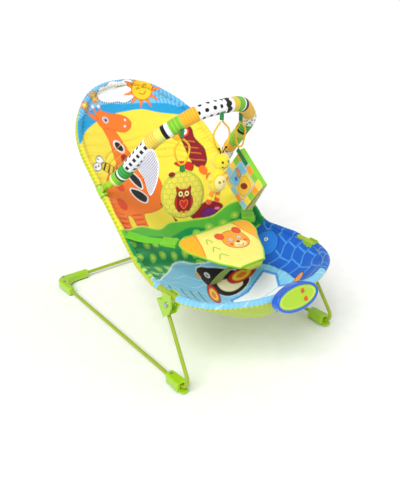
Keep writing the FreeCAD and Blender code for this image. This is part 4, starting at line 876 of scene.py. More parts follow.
class BOUNCER_OT_hardware(bpy.types.Operator):
    """Gives the frame's own parts their coated, moulded and metal finishes"""
    bl_idname = "bouncer.hardware"
    bl_label = "Frame and hardware"

    def execute(self, context):
        s = context.scene.bouncer_hardware
        finishes = {
            "coated_rod": (moulded("coated_rod", tuple(s.rod), 0.30, 420.0, 0.10, coat=0.2),
                           ("rear_crossbar", "left_side_rail", "right_side_rail",
                            "left_spring_leg", "right_spring_leg")),
            "gloss_plastic": (moulded("gloss_plastic", tuple(s.plastic), 0.20, 600.0, 0.05,
                                      coat=0.3),
                              ("rear_left_elbow", "rear_right_elbow", "front_left_foot",
                               "front_right_foot", "left_bracket_outer", "left_bracket_inner",
                               "right_bracket_outer", "right_bracket_inner", "seat_clamps",
                               "bar_clips", "bar_ends")),
            "rubber": (moulded("rubber", (0.16, 0.17, 0.16), 0.62, 500.0, 0.2), ("floor_pads",)),
            "zinc": (moulded("zinc", (0.72, 0.73, 0.75), 0.28, 900.0, 0.05, metallic=0.9),
                     ("base_screws", "bracket_screws", "pivot_bolts", "pivot_nuts", "clamp_screws",
                      "unit_screws", "bar_pins", "tube_joiners", "battery_contacts",
                      "eccentric_weight")),
            "coated_tube": (moulded("coated_tube", (0.62, 0.70, 0.20), 0.35, 420.0, 0.08),
                            ("seat_tube", "backrest_tube", "toy_bar_tube")),
            "unit_blue": (moulded("unit_blue", tuple(s.unit), 0.10, 500.0, 0.02, coat=0.6),
                          ("unit_housing", "unit_clamp", "battery_door")),
            "unit_lime": (moulded("unit_lime", tuple(s.face), 0.22, 500.0, 0.03, coat=0.3),
                          ("unit_face",)),
            "button_orange": (moulded("button_orange", tuple(s.button), 0.20, 500.0, 0.03,
                                      coat=0.3),
                              ("upper_button", "lower_button")),
            "cell_wrap": (moulded("cell_wrap", (0.20, 0.22, 0.25), 0.30), ("battery",)),
            "circuit_green": (moulded("circuit_green", (0.05, 0.30, 0.16), 0.35),
                              ("circuit_board",)),
            "can_grey": (moulded("can_grey", (0.55, 0.56, 0.58), 0.30, metallic=0.7),
                         ("vibration_motor", "speaker")),
        }
        for material, names in finishes.values():
            for name in names:
                painted(NODES[name], material)
        return {"FINISHED"}


SEAM_AT = 205.0                 # where the seat's outline hands over to the back's
CUTS = {                        # first and last row, points across, node
    "seat_cover": (-43.5, 228.0, 191, "seat_panel"),
    "back_cover": (216.0, 670.0, 185, "back_panel")}
ROW_STEP = 1.95
HEM_GAP = 4.0                   # the cover's edge lies this far inside the tube's centre


def cover_rows(first, last, step):
    """Rows of the cover: place along it, half width, and the hem's y and z."""
    seat = rounded([(side_half(HIP_Y), HIP_Y)] + SEAT_LINE, SEAT_RADII, 1.0)[::-1]
    back = rounded([(side_half(200.0), 200.0 - HIP_Y), (HIP_HALF, 0.0), (165.0, SHOULDER_V),
                    (66.0, HEAD_V), (0.0, HEAD_V)], BACK_RADII, 1.0)
    back[:, 1] += HIP_Y
    outline = np.vstack([seat[seat[:, 1] < SEAM_AT], back[back[:, 1] >= SEAM_AT]])
    outline = outline[np.argsort(outline[:, 1], kind="stable")]
    s = np.linspace(first, last, int((last - first) / step) + 1)
    half = np.interp(s, outline[:, 1], outline[:, 0])
    v = np.maximum(s - HIP_Y, 0)
    y = np.where(s > HIP_Y, HIP_Y + v * BACK_COS, s)
    z = SEAT_Z + v * BACK_SIN
    table = np.vstack([SAG] + [[(HIP_Y + v0, d * BACK_SIN, -d * BACK_COS)] for v0, d in BACK_SAG])
    soft = np.ones(9) / 9.0
    sag = [np.pad(np.interp(s, table[:, 0], table[:, k]), 4, mode="edge") for k in (1, 2)]
    return s, half, y, z, *(np.convolve(run, soft, "valid") for run in sag)


def cover_relief(x, s, edge, gather):
    """Gathers at the hem, sewn channels and loose folds, in millimetres."""
    side = np.where(x < 0, -1.0, 1.0)
    relief = gather * np.exp(-edge / 11.0) \
        * np.sin(s / 1.55 + 2.2 * ripple(s / 30, x / 60, 3) + side)
    relief += 2.1 * np.exp(-edge / 34.0) \
        * np.sin(s / 5.2 + 3.0 * ripple(s / 40, x / 50, 8) + side * 2)      # wide puckers
    relief += 1.8 * ripple(x / 42, s / 48, 5) * np.clip(edge / 25, 0, 1)    # loose folds
    inner = np.clip(edge / 22, 0, 1)
    reach = np.clip((128 - np.abs(x)) / 18, 0, 1)
    for base in SEWN_LINES:
        relief -= 2.0 * np.exp(-((s - sewn_line(base, x)) / 2.6) ** 2) * reach * inner
    for depth, at, spread in ((-5.0, 226, 7.0), (3.0, 246, 12.0)):          # crease at the hip
        relief += depth * np.exp(-((s - at) / spread) ** 2) * inner
    fold = np.abs((s - 566) - 0.55 * (x + 6))                               # stitched chevron
    relief -= 1.6 * np.exp(-(fold / 3.0) ** 2) * np.clip((20 - np.abs(x + 2)) / 8, 0, 1)
    return relief


def print_tones(settings):
    return {k: tuple(getattr(settings, k)) for k in ("ground", "sky", "sky_deep", "hill")}


class BOUNCER_OT_cover(bpy.types.Operator):
    """Makes the printed seat and back of the cover, sewn to the hem and sagging from it"""
    bl_idname = "bouncer.cover"
    bl_label = "Printed cover"

    def execute(self, context):
        settings = context.scene.bouncer_cover
        fabric = cloth("cover_print")
        for name, (first, last, across, node) in CUTS.items():
            s, half, y, z, dy, dz = (a[:, None] for a in cover_rows(first, last, ROW_STEP))
            f = np.linspace(-1, 1, across)[None, :]
            reach = half - HEM_GAP
            x = reach * f
            profile = np.clip(1 - np.sqrt(f ** 2 + 0.004) ** 1.35, 0, None)
            grid = np.stack([x, y + dy * profile, z + dz * profile], -1)
            along = s + 0 * x
            edge = np.minimum(reach - np.abs(x), np.where(s > 400, 672 - s, 400))
            edge = np.clip(np.minimum(edge, np.where(s < 60, s + 46, 400)), 0, None)
            normal = grid_normals(grid)
            grid = grid + normal * cover_relief(x, along, edge, settings.gather * 1000)[..., None]
            if name == "seat_cover":
                grid = grid - normal * 2.2 * np.clip((along[..., None] - 214) / 12, 0, 1)
            thick = settings.thickness * 1000 * np.clip(0.35 + edge / 12, 0, 1)[..., None]
            colours = np.vstack([paint_cover(x, along, print_tones(settings)),
                                 Print(x, along, tuple(settings.under)).result()])
            piece = mesh_piece(name, layers(grid, grid - normal * thick), slab_faces(*x.shape),
                               fabric, colours)
            settle(piece, "seat", (node,))
        return {"FINISHED"}


HEM_STEP, HEM_AROUND = 1.6, 28
BRACKET_GAP = (64, 120)         # bench y that the brackets keep clear of hem
CLIP_V, CLIP_HALF = 183.0, 16   # where the toy bar's clips sit along the back, and half their gap


def back_share(points):
    """How far points lie along the backrest from the hip."""
    return (points[:, 1] - HIP_Y) * BACK_COS + (points[:, 2] - SEAT_Z) * BACK_SIN


def hem_runs():
    """Centre lines of the hem's six lengths, between the brackets and the clips."""
    start = (side_half(175.0), 175.0, SEAT_Z)
    halves = ([start] + [(x, y, SEAT_Z) for x, y in SEAT_LINE[:-1]],
              [start, (HIP_HALF, HIP_Y, SEAT_Z), back_point(165.0, SHOULDER_V),
               back_point(66.0, HEAD_V)])
    seat, back = (rounded(half + [(-x, y, z) for x, y, z in reversed(half)],
                          radii + radii[::-1], HEM_STEP)
                  for half, radii in zip(halves, (SEAT_RADII, BACK_RADII)))
    low, high = BRACKET_GAP
    clip = back_point(0, CLIP_V)
    from_clip = (back[:, 1] - clip[1]) * BACK_COS + (back[:, 2] - clip[2]) * BACK_SIN
    beside = np.abs(from_clip) < CLIP_HALF
    first, last = np.where(beside)[0][[0, -1]]
    index = np.arange(len(back))
    return [seat[(seat[:, 0] > 0) & (seat[:, 1] > high)], seat[seat[:, 1] < low],
            seat[(seat[:, 0] < 0) & (seat[:, 1] > high)],
            back[:first], back[~beside & (index > first) & (index < last)], back[last + 1:]]


class BOUNCER_OT_hem(bpy.types.Operator):
    """Makes the gathered sleeve that holds the cover on the frame tube"""
    bl_idname = "bouncer.hem"
    bl_label = "Gathered hem"

    def execute(self, context):
        settings = context.scene.bouncer_cover
        verts, faces, tones, start = [], [], [], 0
        for k, run in enumerate(hem_runs()):
            place = np.arange(len(run))[:, None] * HEM_STEP
            turn = np.linspace(0, 2 * math.pi, HEM_AROUND, endpoint=False)[None, :]
            pucker = np.sin(place / 1.5 + 1.6 * ripple(place / 18, turn * 1.2, 20 + k)
                            + np.sin(turn))
            radius = HEM_R + 0.15 + 0.45 * pucker * (0.6 + 0.4 * ripple(place / 25, turn, 30 + k))
            radius = radius + 0.5 * ripple(place / 14, turn * 1.5, 40 + k)
            flat = tube_points(run, radius, HEM_AROUND).reshape(-1, 3)
            verts.append(flat)
            faces += tube_faces(len(run), HEM_AROUND, start)
            start += len(flat)
            # painted shade: the hem is darker in the hollows of its gathers, where its radius dips,
            # with a little random unevenness on top
            shade = (0.88 + 0.12 * pucker + 0.05 * ripple(place / 30, turn, 50 + k)).reshape(-1, 1)
            rgb = np.clip(linear(tuple(settings.hem)) * shade, 0, 1)
            centre = np.repeat(run, HEM_AROUND, axis=0)
            v = back_share(centre)
            up = np.stack([0 * v, np.where(v > 0, -BACK_SIN, 0.0), np.where(v > 0, BACK_COS, 1.0)],
                          -1)
            inward = np.where(centre[:, 0] > 0, -1.0, 1.0) \
                * (np.abs(centre[:, 0]) > 120) * (v > -70)
            # the side that faces the sitter carries the cover's print
            rise = ((flat - centre) * up).sum(1) * (1 - 0.45 * np.abs(inward))
            rise = rise + (flat[:, 0] - centre[:, 0]) * inward * 0.85
            along = np.where(v > 0, back_share(flat) + HIP_Y, flat[:, 1])
            printed = paint_cover(flat[:, 0], along, print_tones(settings))[:, :3]
            cover_share = np.clip((rise + 1.0 + 0.8 * pucker.reshape(-1)) / 1.6, 0, 1)[:, None]
            # the cover's print on the hem takes the same painted shade of the gathers
            rgb += (printed * (0.6 + 0.4 * shade) - rgb) * cover_share
            tones.append(opaque(rgb))
        piece = mesh_piece("cover_hem", np.vstack(verts), faces,
                           cloth("hem_fabric", threads=1200.0, bump=0.3), np.vstack(tones))
        settle(piece, "seat", ("cover_hems",))
        return {"FINISHED"}


# place along the pad, height and half width
PAD_ROWS = np.array([(62, 208.5, 31), (80, 211, 45), (98, 213, 58), (136, 219, 77), (160, 225, 92),
                     (176, 229.5, 95), (188, 233, 93), (196, 235.5, 80)], float)


PAD_STEM = [(62, 207.5), (57, 205.5), (56, 203), (62, 200), (98, 188), (134, 167), (164, 135),
            (184, 108)]         # bench y and z of the stem, from the fold down to the seat
# the stem's colour, darker than the pad's lining: painted shade, as the stem lies under the pad
STEM_SHADE_TONE = (0.62, 0.70, 0.20)


def paint_pad(x, s, front, tone):
    p = Print(x, s, tone)
    if not front:
        return p.result()
    gold = (0.97, 0.68, 0.10)
    for way in (-1, 1):
        p.area([(way * 50, 206), (way * 112, 206), (way * 112, 112), (way * 76, 124),
                (way * 58, 160)], gold)
        p.line([(way * 74, 118), (way * 58, 160), (way * 50, 206)], 2.6, (0.93, 0.50, 0.08))
    p.y = p.y + 16              # the bear is drawn on its own middle
    p.x = p.x + 10
    p.area([(2, 164), (12, 184), (38, 186), (56, 172), (56, 146), (40, 130), (20, 130), (4, 144)],
           (0.95, 0.62, 0.16), (0.70, 0.25, 0.05), 1.6)
    for ex, ey in ((4, 181), (52, 183)):
        p.spot(ex, ey, 9, 9, (0.90, 0.30, 0.10), edge=(0.60, 0.18, 0.05), width=1.4)
    p.spot(30, 142, 16, 10, (0.97, 0.88, 0.60))
    for ex in (20, 42):
        p.eye(ex, 162, 4.4)
        p.spot(ex - 7 + (ex > 30) * 14, 148, 4.6, 4.6, (0.92, 0.35, 0.12))
    p.spot(31, 150, 4.4, 3.2, BLACK)
    p.line([(22, 140), (30, 135), (38, 140)], 1.6, BLACK)
    p.y = p.y - 16
    p.x = p.x - 10
    for k in range(3):
        p.line([(-52 + k * 4, 104 + k * 26), (-40 + k * 2, 116 + k * 26), (-30, 104 + k * 26)], 2.2,
               (0.45, 0.72, 0.15))
    return p.result()


class BOUNCER_OT_crotch_pad(bpy.types.Operator):
    """Makes the padded crotch strap, its folded stem and its piping"""
    bl_idname = "bouncer.crotch_pad"
    bl_label = "Crotch pad"

    def execute(self, context):
        settings = context.scene.bouncer_harness
        s = np.linspace(PAD_ROWS[0, 0], PAD_ROWS[-1, 0], 112)
        half = np.interp(s, *smooth_line(PAD_ROWS[:, (0, 2)], 8).T)
        z = np.interp(s, *smooth_line(PAD_ROWS[:, :2], 8).T)
        f = np.linspace(-1, 1, 131)
        x = half[:, None] * f[None, :]
        y = s[:, None] + 0 * x
        edge = np.minimum(half[:, None] * (1 - np.abs(f)), np.minimum(s - 60, 198 - s)[:, None])
        edge = np.clip(edge, 0, None)
        lift = settings.thickness * 500 * (1 - np.exp(-edge / 6.0)) ** 0.7
        lift = lift * (1 + 0.10 * ripple(x / 22, y / 22, 61))
        sew = np.exp(-((edge - 5.0) / 1.3) ** 2) * 1.3
        bend = -0.00035 * x ** 2 + 1.6 * ripple(x / 45, y / 60, 62)
        base = z[:, None] + bend
        top = np.stack([x, y, base + lift - sew], -1)
        low = np.stack([x, y, base - lift * 0.8 + sew * 0.4], -1)
        colours = np.vstack([paint_pad(x, y, True, tuple(settings.pad)),
                             paint_pad(x, y, False, (0.75, 0.80, 0.30))])
        verts = layers(top, low)
        faces = slab_faces(*x.shape)
        stem = smooth_line(PAD_STEM, 8)
        width = 17 + 13 * np.exp(-np.arange(len(stem)) / 7.0)
        across = np.linspace(-1, 1, 33)
        sx = width[:, None] * across[None]
        path = np.stack([sx, stem[:, :1] + 0 * sx, stem[:, 1:] + 0 * sx], -1)
        normal = grid_normals(path)
        swell = 2.6 * (1 - np.abs(across) ** 4)[None, :, None]
        count = len(verts)
        verts = np.vstack([verts, layers(path + normal * swell, path - normal * swell)])
        faces += [[i + count for i in quad] for quad in slab_faces(*sx.shape)]
        # the stem carries the darker tone, painted shade under the pad
        stem_shade_tones = opaque(np.tile(linear(STEM_SHADE_TONE), (2 * sx.size, 1)))
        colours = np.vstack([colours, stem_shade_tones])
        pad = mesh_piece("crotch_pad_cushion", verts, faces, cloth("pad_fabric", threads=1100.0),
                         colours)
        settle(pad, "seat", ("crotch_pad",))
        ring = np.vstack([top[0], top[1:, -1], top[-1, -2::-1], top[-2:0:-1, 0]])
        ring = even(np.vstack([ring, ring[:1]]), 2.0)[:-1]
        ring = (np.roll(ring, 1, 0) + ring + np.roll(ring, -1, 0)) / 3
        points = tube_points(np.vstack([ring, ring[:1]]), 2.0, 10)[:-1]
        piping = mesh_piece("pad_piping", points, closed_tube_faces(len(ring), 10),
                            cloth("piping_fabric", tuple(settings.piping), 1400.0, 0.3))
        settle(piping, "seat")
        return {"FINISHED"}


BUCKLE_AT = (96.5, 190.0, 232.0)        # bench place of a socket's pad end, on the right
STRAP_LOW, STRAP_END = (160.0, 272.0, 237.0), (165.0, 276.0, 240.5)


def buckle_axes(side):
    """Where a buckle starts, and its directions away from the pad, across and out."""
    at, aim = (Vector((side * p[0], *p[1:])) for p in (BUCKLE_AT, STRAP_LOW))
    away = (aim - at).normalized()
    across = Vector((0, 0, 1)).cross(away).normalized()
    return at, away, across, away.cross(across)


def on_buckle(piece, side, along):
    """Turns a piece drawn lengthways on Z to lie along a buckle, that far from its pad end."""
    at, away, across, face = buckle_axes(side)
    spot = at + away * along
    spot.y += BENCH_SHIFT
    turn = Matrix((across, face, away)).transposed().to_4x4()
    piece.matrix_world = Matrix.Translation(spot / 1000) @ turn @ piece.matrix_world


class BOUNCER_OT_straps(bpy.types.Operator):
    """Makes the waist webbing and its two buckles"""
    bl_idname = "bouncer.straps"
    bl_label = "Waist straps and buckles"

    def execute(self, context):
        settings = context.scene.bouncer_harness
        webbing = cloth("webbing", tuple(settings.webbing), 700.0, 0.6, 0.15)
        plastic = moulded("buckle_plastic", (0.46, 0.80, 0.12), 0.24, 600.0, 0.05, coat=0.2)
        verts, faces = [], []
        for side in (-1.0, 1.0):
            at, away, across, face = (np.array(v) for v in buckle_axes(side))
            start = at + away * 31.0
            end = np.array([side * STRAP_END[0], *STRAP_END[1:]])
            middle = (start + end) / 2 - np.array([0, 0, 4.0])
            line = smooth_line([start, middle, end], 18)
            width = np.linspace(11.5, 15.0, len(line))[:, None]
            f = np.linspace(-1, 1, 25)[None, :]
            rib = 0.35 * np.cos(f * 9 * math.pi)
            flat = line[:, None, :] + across * (width * f)[..., None]
            top = flat + face * (1.0 + rib)[..., None]
            low = flat - face
            count = sum(len(v) for v in verts)
            verts.append(layers(top, low))
            faces += [[i + count for i in quad] for quad in slab_facing(top, face)]
        straps = mesh_piece("waist_webbing", np.vstack(verts), faces, webbing)
        settle(straps, "seat", ("waist_straps",))
        sockets, tongues = [], []
        for side in (-1.0, 1.0):
            box = primitive("cube", size=1.0)
            edit(box)
            bpy.ops.transform.resize(value=(0.028, 0.009, 0.024))
            bpy.ops.mesh.subdivide(number_cuts=7)
            edit(box, lambda f: f.normal.y > 0.9 and abs(f.center.x) < 0.0105
                 and int((f.center.z + 0.012) / 0.003) % 2 == 1)
            bpy.ops.mesh.extrude_region_shrink_fatten(
                TRANSFORM_OT_shrink_fatten={"value": 0.0009})
            bpy.ops.object.mode_set(mode="OBJECT")
            on_buckle(box, side, 12.0)
            done(box, 0.0006)
            sockets.append(box)
            head = primitive("cube", size=1.0)
            stretch(head, (0.028, 0.0078, 0.0095))
            edit(head, lambda f: f.normal.z > 0.9)
            bpy.ops.mesh.inset(thickness=0.0016)
            bpy.ops.mesh.extrude_region_move(TRANSFORM_OT_translate={"value": (0, 0, 0.0012)})
            bpy.ops.object.mode_set(mode="OBJECT")
            on_buckle(head, side, 28.2)
            done(head, 0.0009)
            tongues.append(head)
        for pieces, name, node in ((sockets, "buckle_socket_pair", "buckle_sockets"),
                                   (tongues, "buckle_tongue_pair", "buckle_tongues")):
            pair = joined(pieces, name)
            painted(pair, plastic)
            settle(pair, "seat", (node,))
        return {"FINISHED"}


class BOUNCER_OT_unit_trim(bpy.types.Operator):
    """Adds the moulded line and the pale ring of the vibration unit"""
    bl_idname = "bouncer.unit_trim"
    bl_label = "Unit trim"

    def execute(self, context):
        c, s = math.cos(UNIT_TILT), math.sin(UNIT_TILT)
        turn = Matrix(((1, 0, 0), (0, s, -c), (0, c, s))).to_4x4()
        rings = {               # half width, half height, wire radius, height, colour and slot
                 "unit_navy_line": (50.3, 23.3, 0.75, 0.9, (0.02, 0.08, 0.40), "unit_blue"),
                 "unit_pale_ring": (43.5, 16.8, 0.7, 0.55, (0.93, 0.93, 0.55), "unit_lime")}
        for name, (a, b, thin, out, tone, slot) in rings.items():
            ring = primitive("torus", major_radius=a / 1000, minor_radius=thin / 1000,
                             major_segments=96, minor_segments=10)
            stretch(ring, (1, b / a, 0.6))
            at = row(UNIT_AT + np.array([0, -out * c, out * s]))
            ring.matrix_world = Matrix.Translation(Vector(at)) @ turn
            done(ring)
            ring = joined([ring], name)
            painted(ring, moulded(name + "_finish", tone, 0.25, coat=0.2))
            settle(ring, "seat")
        return {"FINISHED"}


BANDS = [   # from, to, base colour, pattern, pattern's colour
    (0, 22, (0.86, 0.90, 0.50), "plain", None), (22, 36, (0.48, 0.76, 0.18), "ribs", None),
    (36, 41, BLACK, "plain", None), (41, 47, WHITE, "plain", None),
    (47, 74, (0.10, 0.58, 0.20), "ribs", (0.35, 0.78, 0.30)), (74, 162, WHITE, "squares", BLACK),
    (162, 186, (0.94, 0.74, 0.22), "lines", (0.90, 0.86, 0.40)),
    (186, 200, (0.88, 0.88, 0.40), "plain", None), (200, 208, BLACK, "plain", None),
    (208, 216, WHITE, "plain", None), (216, 243, (0.48, 0.76, 0.16), "ribs", (0.62, 0.84, 0.30)),
    (243, 275, (0.96, 0.66, 0.12), "lines", (0.93, 0.74, 0.20)), (275, 335, WHITE, "dots", BLACK),
    (335, 348, BLACK, "scallop", WHITE), (348, 353, WHITE, "plain", None),
    (353, 366, (0.90, 0.74, 0.20), "lines", (0.80, 0.78, 0.25)),
    (366, 380, (0.40, 0.72, 0.15), "ribs", None), (380, 384, WHITE, "plain", None),
    (384, 392, BLACK, "plain", None), (392, 455, (0.93, 0.80, 0.20), "lines", (0.88, 0.58, 0.10)),
    (455, 496, WHITE, "dashes", BLACK), (496, 524, (0.10, 0.60, 0.20), "ribs", (0.50, 0.82, 0.35)),
    (524, 533, BLACK, "plain", None), (533, 548, (0.80, 0.86, 0.35), "plain", None),
    (548, 588, (0.50, 0.78, 0.16), "ribs", (0.65, 0.86, 0.30)),
    (588, 616, (0.95, 0.62, 0.12), "lines", (0.97, 0.80, 0.25)), (616, 700, WHITE, "dots", BLACK)]


def paint_sleeve(s, turn):
    """Colours of the sleeve's bands; turn runs from 0 to 1 round it."""
    rgb = np.zeros((s.size, 3))
    for low, high, base, pattern, ink in BANDS:
        here = (s >= low) & (s < high)
        a, t = s[here] - low, turn[here]
        tone = np.tile(linear(base), (a.size, 1))
        cell = None
        if pattern == "squares":
            u, v = (a - 6) / 15.5, t * 6
            off = np.floor(v) % 2 * 0.5
            cell = (np.abs((u + off) % 1 - 0.5) < 0.27) & (np.abs(v % 1 - 0.5) < 0.26)
        elif pattern == "dots":
            u, v = a / 15.0, t * 6
            off = np.floor(v) % 2 * 0.5
            cell = ((u + off) % 1 - 0.5) ** 2 + (v % 1 - 0.5) ** 2 < 0.058
        elif pattern == "dashes":
            u, v = a / 13.0, t * 8
            cell = (np.abs(u % 1 - 0.5) < 0.34) & (np.abs((v + np.floor(u) * 0.5) % 1 - 0.5) < 0.14)
        elif pattern == "lines":
            cell = (a / 5.0) % 1 < 0.35
        elif pattern == "ribs" and ink is not None:
            cell = (a / 8.0) % 1 < 0.25
        elif pattern == "scallop":
            cell = a > 7.5 + 4.5 * np.abs(np.sin(t * 7 * math.pi))
        if cell is not None:
            tone[cell] = linear(ink)
        rgb[here] = tone
    return opaque(rgb)


def bar_line(step):
    right = [PIN + BAR_UP * up + np.array([half, 0, 0]) for half, up in BAR_LINE]
    left = [p * np.array([-1.0, 1, 1]) for p in right]
    return rounded(left + right[::-1], BAR_RADII + BAR_RADII[::-1], step)


BARE_END = 14                           # millimetres of tube that the sleeve leaves bare
CUFF = np.array([3.5, 1.6, 0.7, 0.2])   # how far the sleeve's ends draw in
LEAF_X, LEAF_SPAN = -132.2, (116, 186)  # the leaf's plane, and where it is sewn along the bar
LEAF_DROPS = ((-24, -14), (-27, -32), (-18, -66), (8, -100), (29, -70))


class BOUNCER_OT_sleeve(bpy.types.Operator):
    """Makes the stuffed patchwork sleeve of the toy bar and its striped leaf"""
    bl_idname = "bouncer.sleeve"
    bl_label = "Toy bar sleeve"

    def execute(self, context):
        line = bar_line(1.0)[BARE_END:-BARE_END]
        around = 60
        s = (np.arange(len(line)) + float(BARE_END))[:, None]
        turn = (np.arange(around) / around)[None, :]
        swell = np.zeros(len(line))
        for low, high, _, pattern, _ in BANDS:
            here = (s[:, 0] >= low) & (s[:, 0] < high)
            a = (s[:, 0][here] - low) / (high - low)
            swell[here] = 0.5 * np.sin(math.pi * a) ** 0.5 * min(1, (high - low) / 20) - 0.55
            if pattern == "ribs":
                swell[here] += 0.35 * np.sin(2 * math.pi * (s[:, 0][here] - low) / 4.0)
        swell[:4] -= CUFF
        swell[-4:] -= CUFF[::-1]
        radius = SLEEVE_R + swell[:, None] + 0.35 * ripple(s / 11, turn * 9, 71)
        points = tube_points(line, radius, around)
        colours = paint_sleeve((s + 0 * turn).ravel(), (turn + 0 * s).ravel())
        piece = mesh_piece("patchwork_sleeve", points, tube_faces(len(line), around),
                           cloth("sleeve_fabric", threads=1200.0), colours)
        settle(piece, "toy_bar", ("toy_bar_sleeve",))
        drop = (SLEEVE_R - 2.0) / abs(BAR_UP[1])
        low, high = (PIN + BAR_UP * up - [0, 0, drop] for up in LEAF_SPAN)
        line = np.array([low[1:], high[1:]] + [high[1:] + step for step in LEAF_DROPS])
        middle = line.mean(0)

        def place(u, v, h):
            return np.stack([LEAF_X + h, u, v], -1)

        def stripes(u, v, front):
            p = Print(u, v, WHITE)
            for k in range(-12, 14):
                base = middle[0] + k * 7.2
                p.line([(base - 60, middle[1] - 60), (base + 60, middle[1] + 60)], 2.3,
                       (0.42, 0.36, 0.52))
            p.line(np.vstack([line, line[:1]]).tolist(), 4.0, WHITE)
            return p.result()

        leaf = pillow("hanging_leaf", line, 3.4, place, cloth("leaf_fabric", threads=1200.0),
                      stripes, rings=64, spokes=280, crown=6.0)
        settle(leaf, "toy_bar", ("striped_leaf",))
        return {"FINISHED"}


TOYS = {"owl": -86.0, "plush": -9.0, "book": 80.0}      # where each toy hangs across the bar
LOOPS = {"owl": (52.0, 30.0), "plush": (60.0, 34.0), "book": (52.0, 22.0)}      # height and width
BOOK_HOOK = np.array([-11.0, 14.0, -2.0])       # the book's hook sits aside of the bar's centre
HOOK_OUT, HOOK_DROP = 16.5, 11.0                # from the bar's centre to a hook's lower end
HOOK_GAP, CORD_ROOM = 0.6, 4.4                  # between the hook, its cord loop and the toy


def swing_point(x):
    """Lower end of the hook that a toy hangs from."""
    (wide, low), (narrow, up) = BAR_LINE[2:]
    if abs(x) >= narrow / 2:
        up -= (abs(x) - narrow) * (up - low) / (wide - narrow)
    aside = BOOK_HOOK if x == TOYS["book"] else np.zeros(3)
    return PIN + BAR_UP * up + np.array([x, 0, -HOOK_DROP]) + HOOK_OUT * BAR_OUT + aside


def below_loop(name):
    """Where a toy begins, under its cord loop."""
    return swing_point(TOYS[name]) - np.array([0, 0, HOOK_GAP + CORD_ROOM + LOOPS[name][0]])


class BOUNCER_OT_hooks(bpy.types.Operator):
    """Makes the moulded hooks and the cord loops that the toys hang by"""
    bl_idname = "bouncer.hooks"
    bl_label = "Hooks and cords"

    def execute(self, context):
        settings = context.scene.bouncer_toys
        plastic = moulded("hook_plastic", tuple(settings.hook), 0.25, 500.0, 0.04, coat=0.2)
        hooks = []
        for name, x in TOYS.items():
            low = row(swing_point(x))
            hook = primitive("cylinder", vertices=28, radius=0.0042, depth=0.014,
                             location=(low[0], low[1], low[2] + 0.0072))
            edit(hook, lambda f: f.normal.z < -0.9)
            bpy.ops.mesh.inset(thickness=0.0012)
            bpy.ops.mesh.extrude_region_move(TRANSFORM_OT_translate={"value": (0, 0, 0.0016)})
            edit(hook, lambda f: f.normal.z > 0.9)
            bpy.ops.mesh.extrude_region_move(TRANSFORM_OT_translate={"value": (0, 0, 0.002)})
            bpy.ops.transform.resize(value=(1.35, 1.35, 1.0))
            done(hook, 0.0006)
            hooks.append(hook)
        hook = joined(hooks, "toy_hooks")
        painted(hook, plastic)
        settle(hook, "toy_bar", ("toy_eyes",))
        cord_finish = cloth("toy_cord", tuple(settings.cord_tone), 1500.0, 0.5, 0.2)
        for name, x in TOYS.items():
            high, wide = LOOPS[name]
            top = swing_point(x) - np.array([0, 0, HOOK_GAP + CORD_ROOM / 2])
            half = wide / 2
            right = [(2.6, 0), (4.5, -3), (half * 1.25, -high * 0.32), (half * 1.1, -high * 0.66),
                     (6, -high)]
            line = right + [(0, -high - 0.6)] + [(-u, v) for u, v in reversed(right)]
            points = row([top + np.array([u, 0, v]) for u, v in line])
            curve = bpy.data.curves.new(name + "_cord", "CURVE")
            curve.dimensions = "3D"
            curve.resolution_u = 12
            curve.bevel_depth = settings.cord / 2
            curve.bevel_resolution = 4
            curve.use_fill_caps = True
            spline = curve.splines.new("NURBS")
            spline.points.add(len(points) - 1)
            for k, p in enumerate(points):
                spline.points[k].co = (*p, 1)
            spline.order_u = 3
            spline.use_endpoint_u = True
            curve.materials.append(cord_finish)
            piece = bpy.data.objects.new(name + "_cord", curve)
            context.scene.collection.objects.link(piece)
            settle(piece, name, (name + "_loop",))
        return {"FINISHED"}


DISC_A, DISC_B = 43.0, 50.0             # the disc's half width and half height
TAB_HEIGHT = 12.0
DISC_TURN = math.radians(-22.0)


def oval(a, b, count, closed=False):
    """Points of an oval."""
    turns = np.linspace(0, 2 * math.pi, count, endpoint=closed)
    return np.stack([a * np.cos(turns), b * np.sin(turns)], 1)


def paint_disc(u, v, front, tone):
    """A honeycomb ground with an owl on the front, in millimetres from the disc's middle."""
    p = Print(u, v, tone)
    comb, red, maroon = (0.66, 0.72, 0.20), (0.78, 0.07, 0.07), (0.50, 0.06, 0.05)
    rust, dark, seam = (0.66, 0.12, 0.06), (0.32, 0.03, 0.02), (0.30, 0.02, 0.02)
    p.line(oval(DISC_A - 2, DISC_B - 2, 40, True), 1.6, (0.66, 0.76, 0.20))
    if not front:
        return p.result()
    for k in range(-4, 5):
        for m in range(-4, 5):
            bx, by = k * 12.0 + (m % 2) * 6, m * 11.0
            p.line([(bx - 5, by - 3), (bx, by - 5), (bx + 5, by - 3)], 1.2, comb)
            p.line([(bx - 5, by - 3), (bx - 5, by + 4)], 1.2, comb)
    p.x = p.x / 0.78            # the owl is drawn wide and printed narrower
    p.area([(-15, -30), (-20, -12), (-18, 4), (-12, 8), (12, 8), (18, 4), (20, -12), (15, -30),
            (0, -35)], maroon, seam, 1.4)
    p.area([(-18, 20), (-16, 6), (-8, -2), (8, -2), (16, 6), (18, 20), (10, 15), (-10, 15)],
           rust, dark, 1.4)
    for way in (-1, 1):
        p.area([(way * 8, 14), (way * 18, 24), (way * 17, 10)], rust, smooth=False)
        p.spot(way * 8, 6, 5.6, 5.6, (0.98, 0.90, 0.55), edge=dark, width=1.2)
        p.spot(way * 8, 6, 2.6, 2.6, BLACK)
        p.area([(way * 19, 0), (way * 24, -12), (way * 18, -26)], red, seam, 1.0)
        p.spot(way * 6, -34, 4.5, 2.6, (0.95, 0.55, 0.10))
    p.area([(-2.6, 2), (2.6, 2), (0, -4)], (0.98, 0.65, 0.10), smooth=False)
    p.area([(0, -26), (-9, -16), (-9, -10), (-4, -8), (0, -12), (4, -8), (9, -10), (9, -16)],
           red, (0.98, 0.55, 0.15), 1.2)
    return p.result()


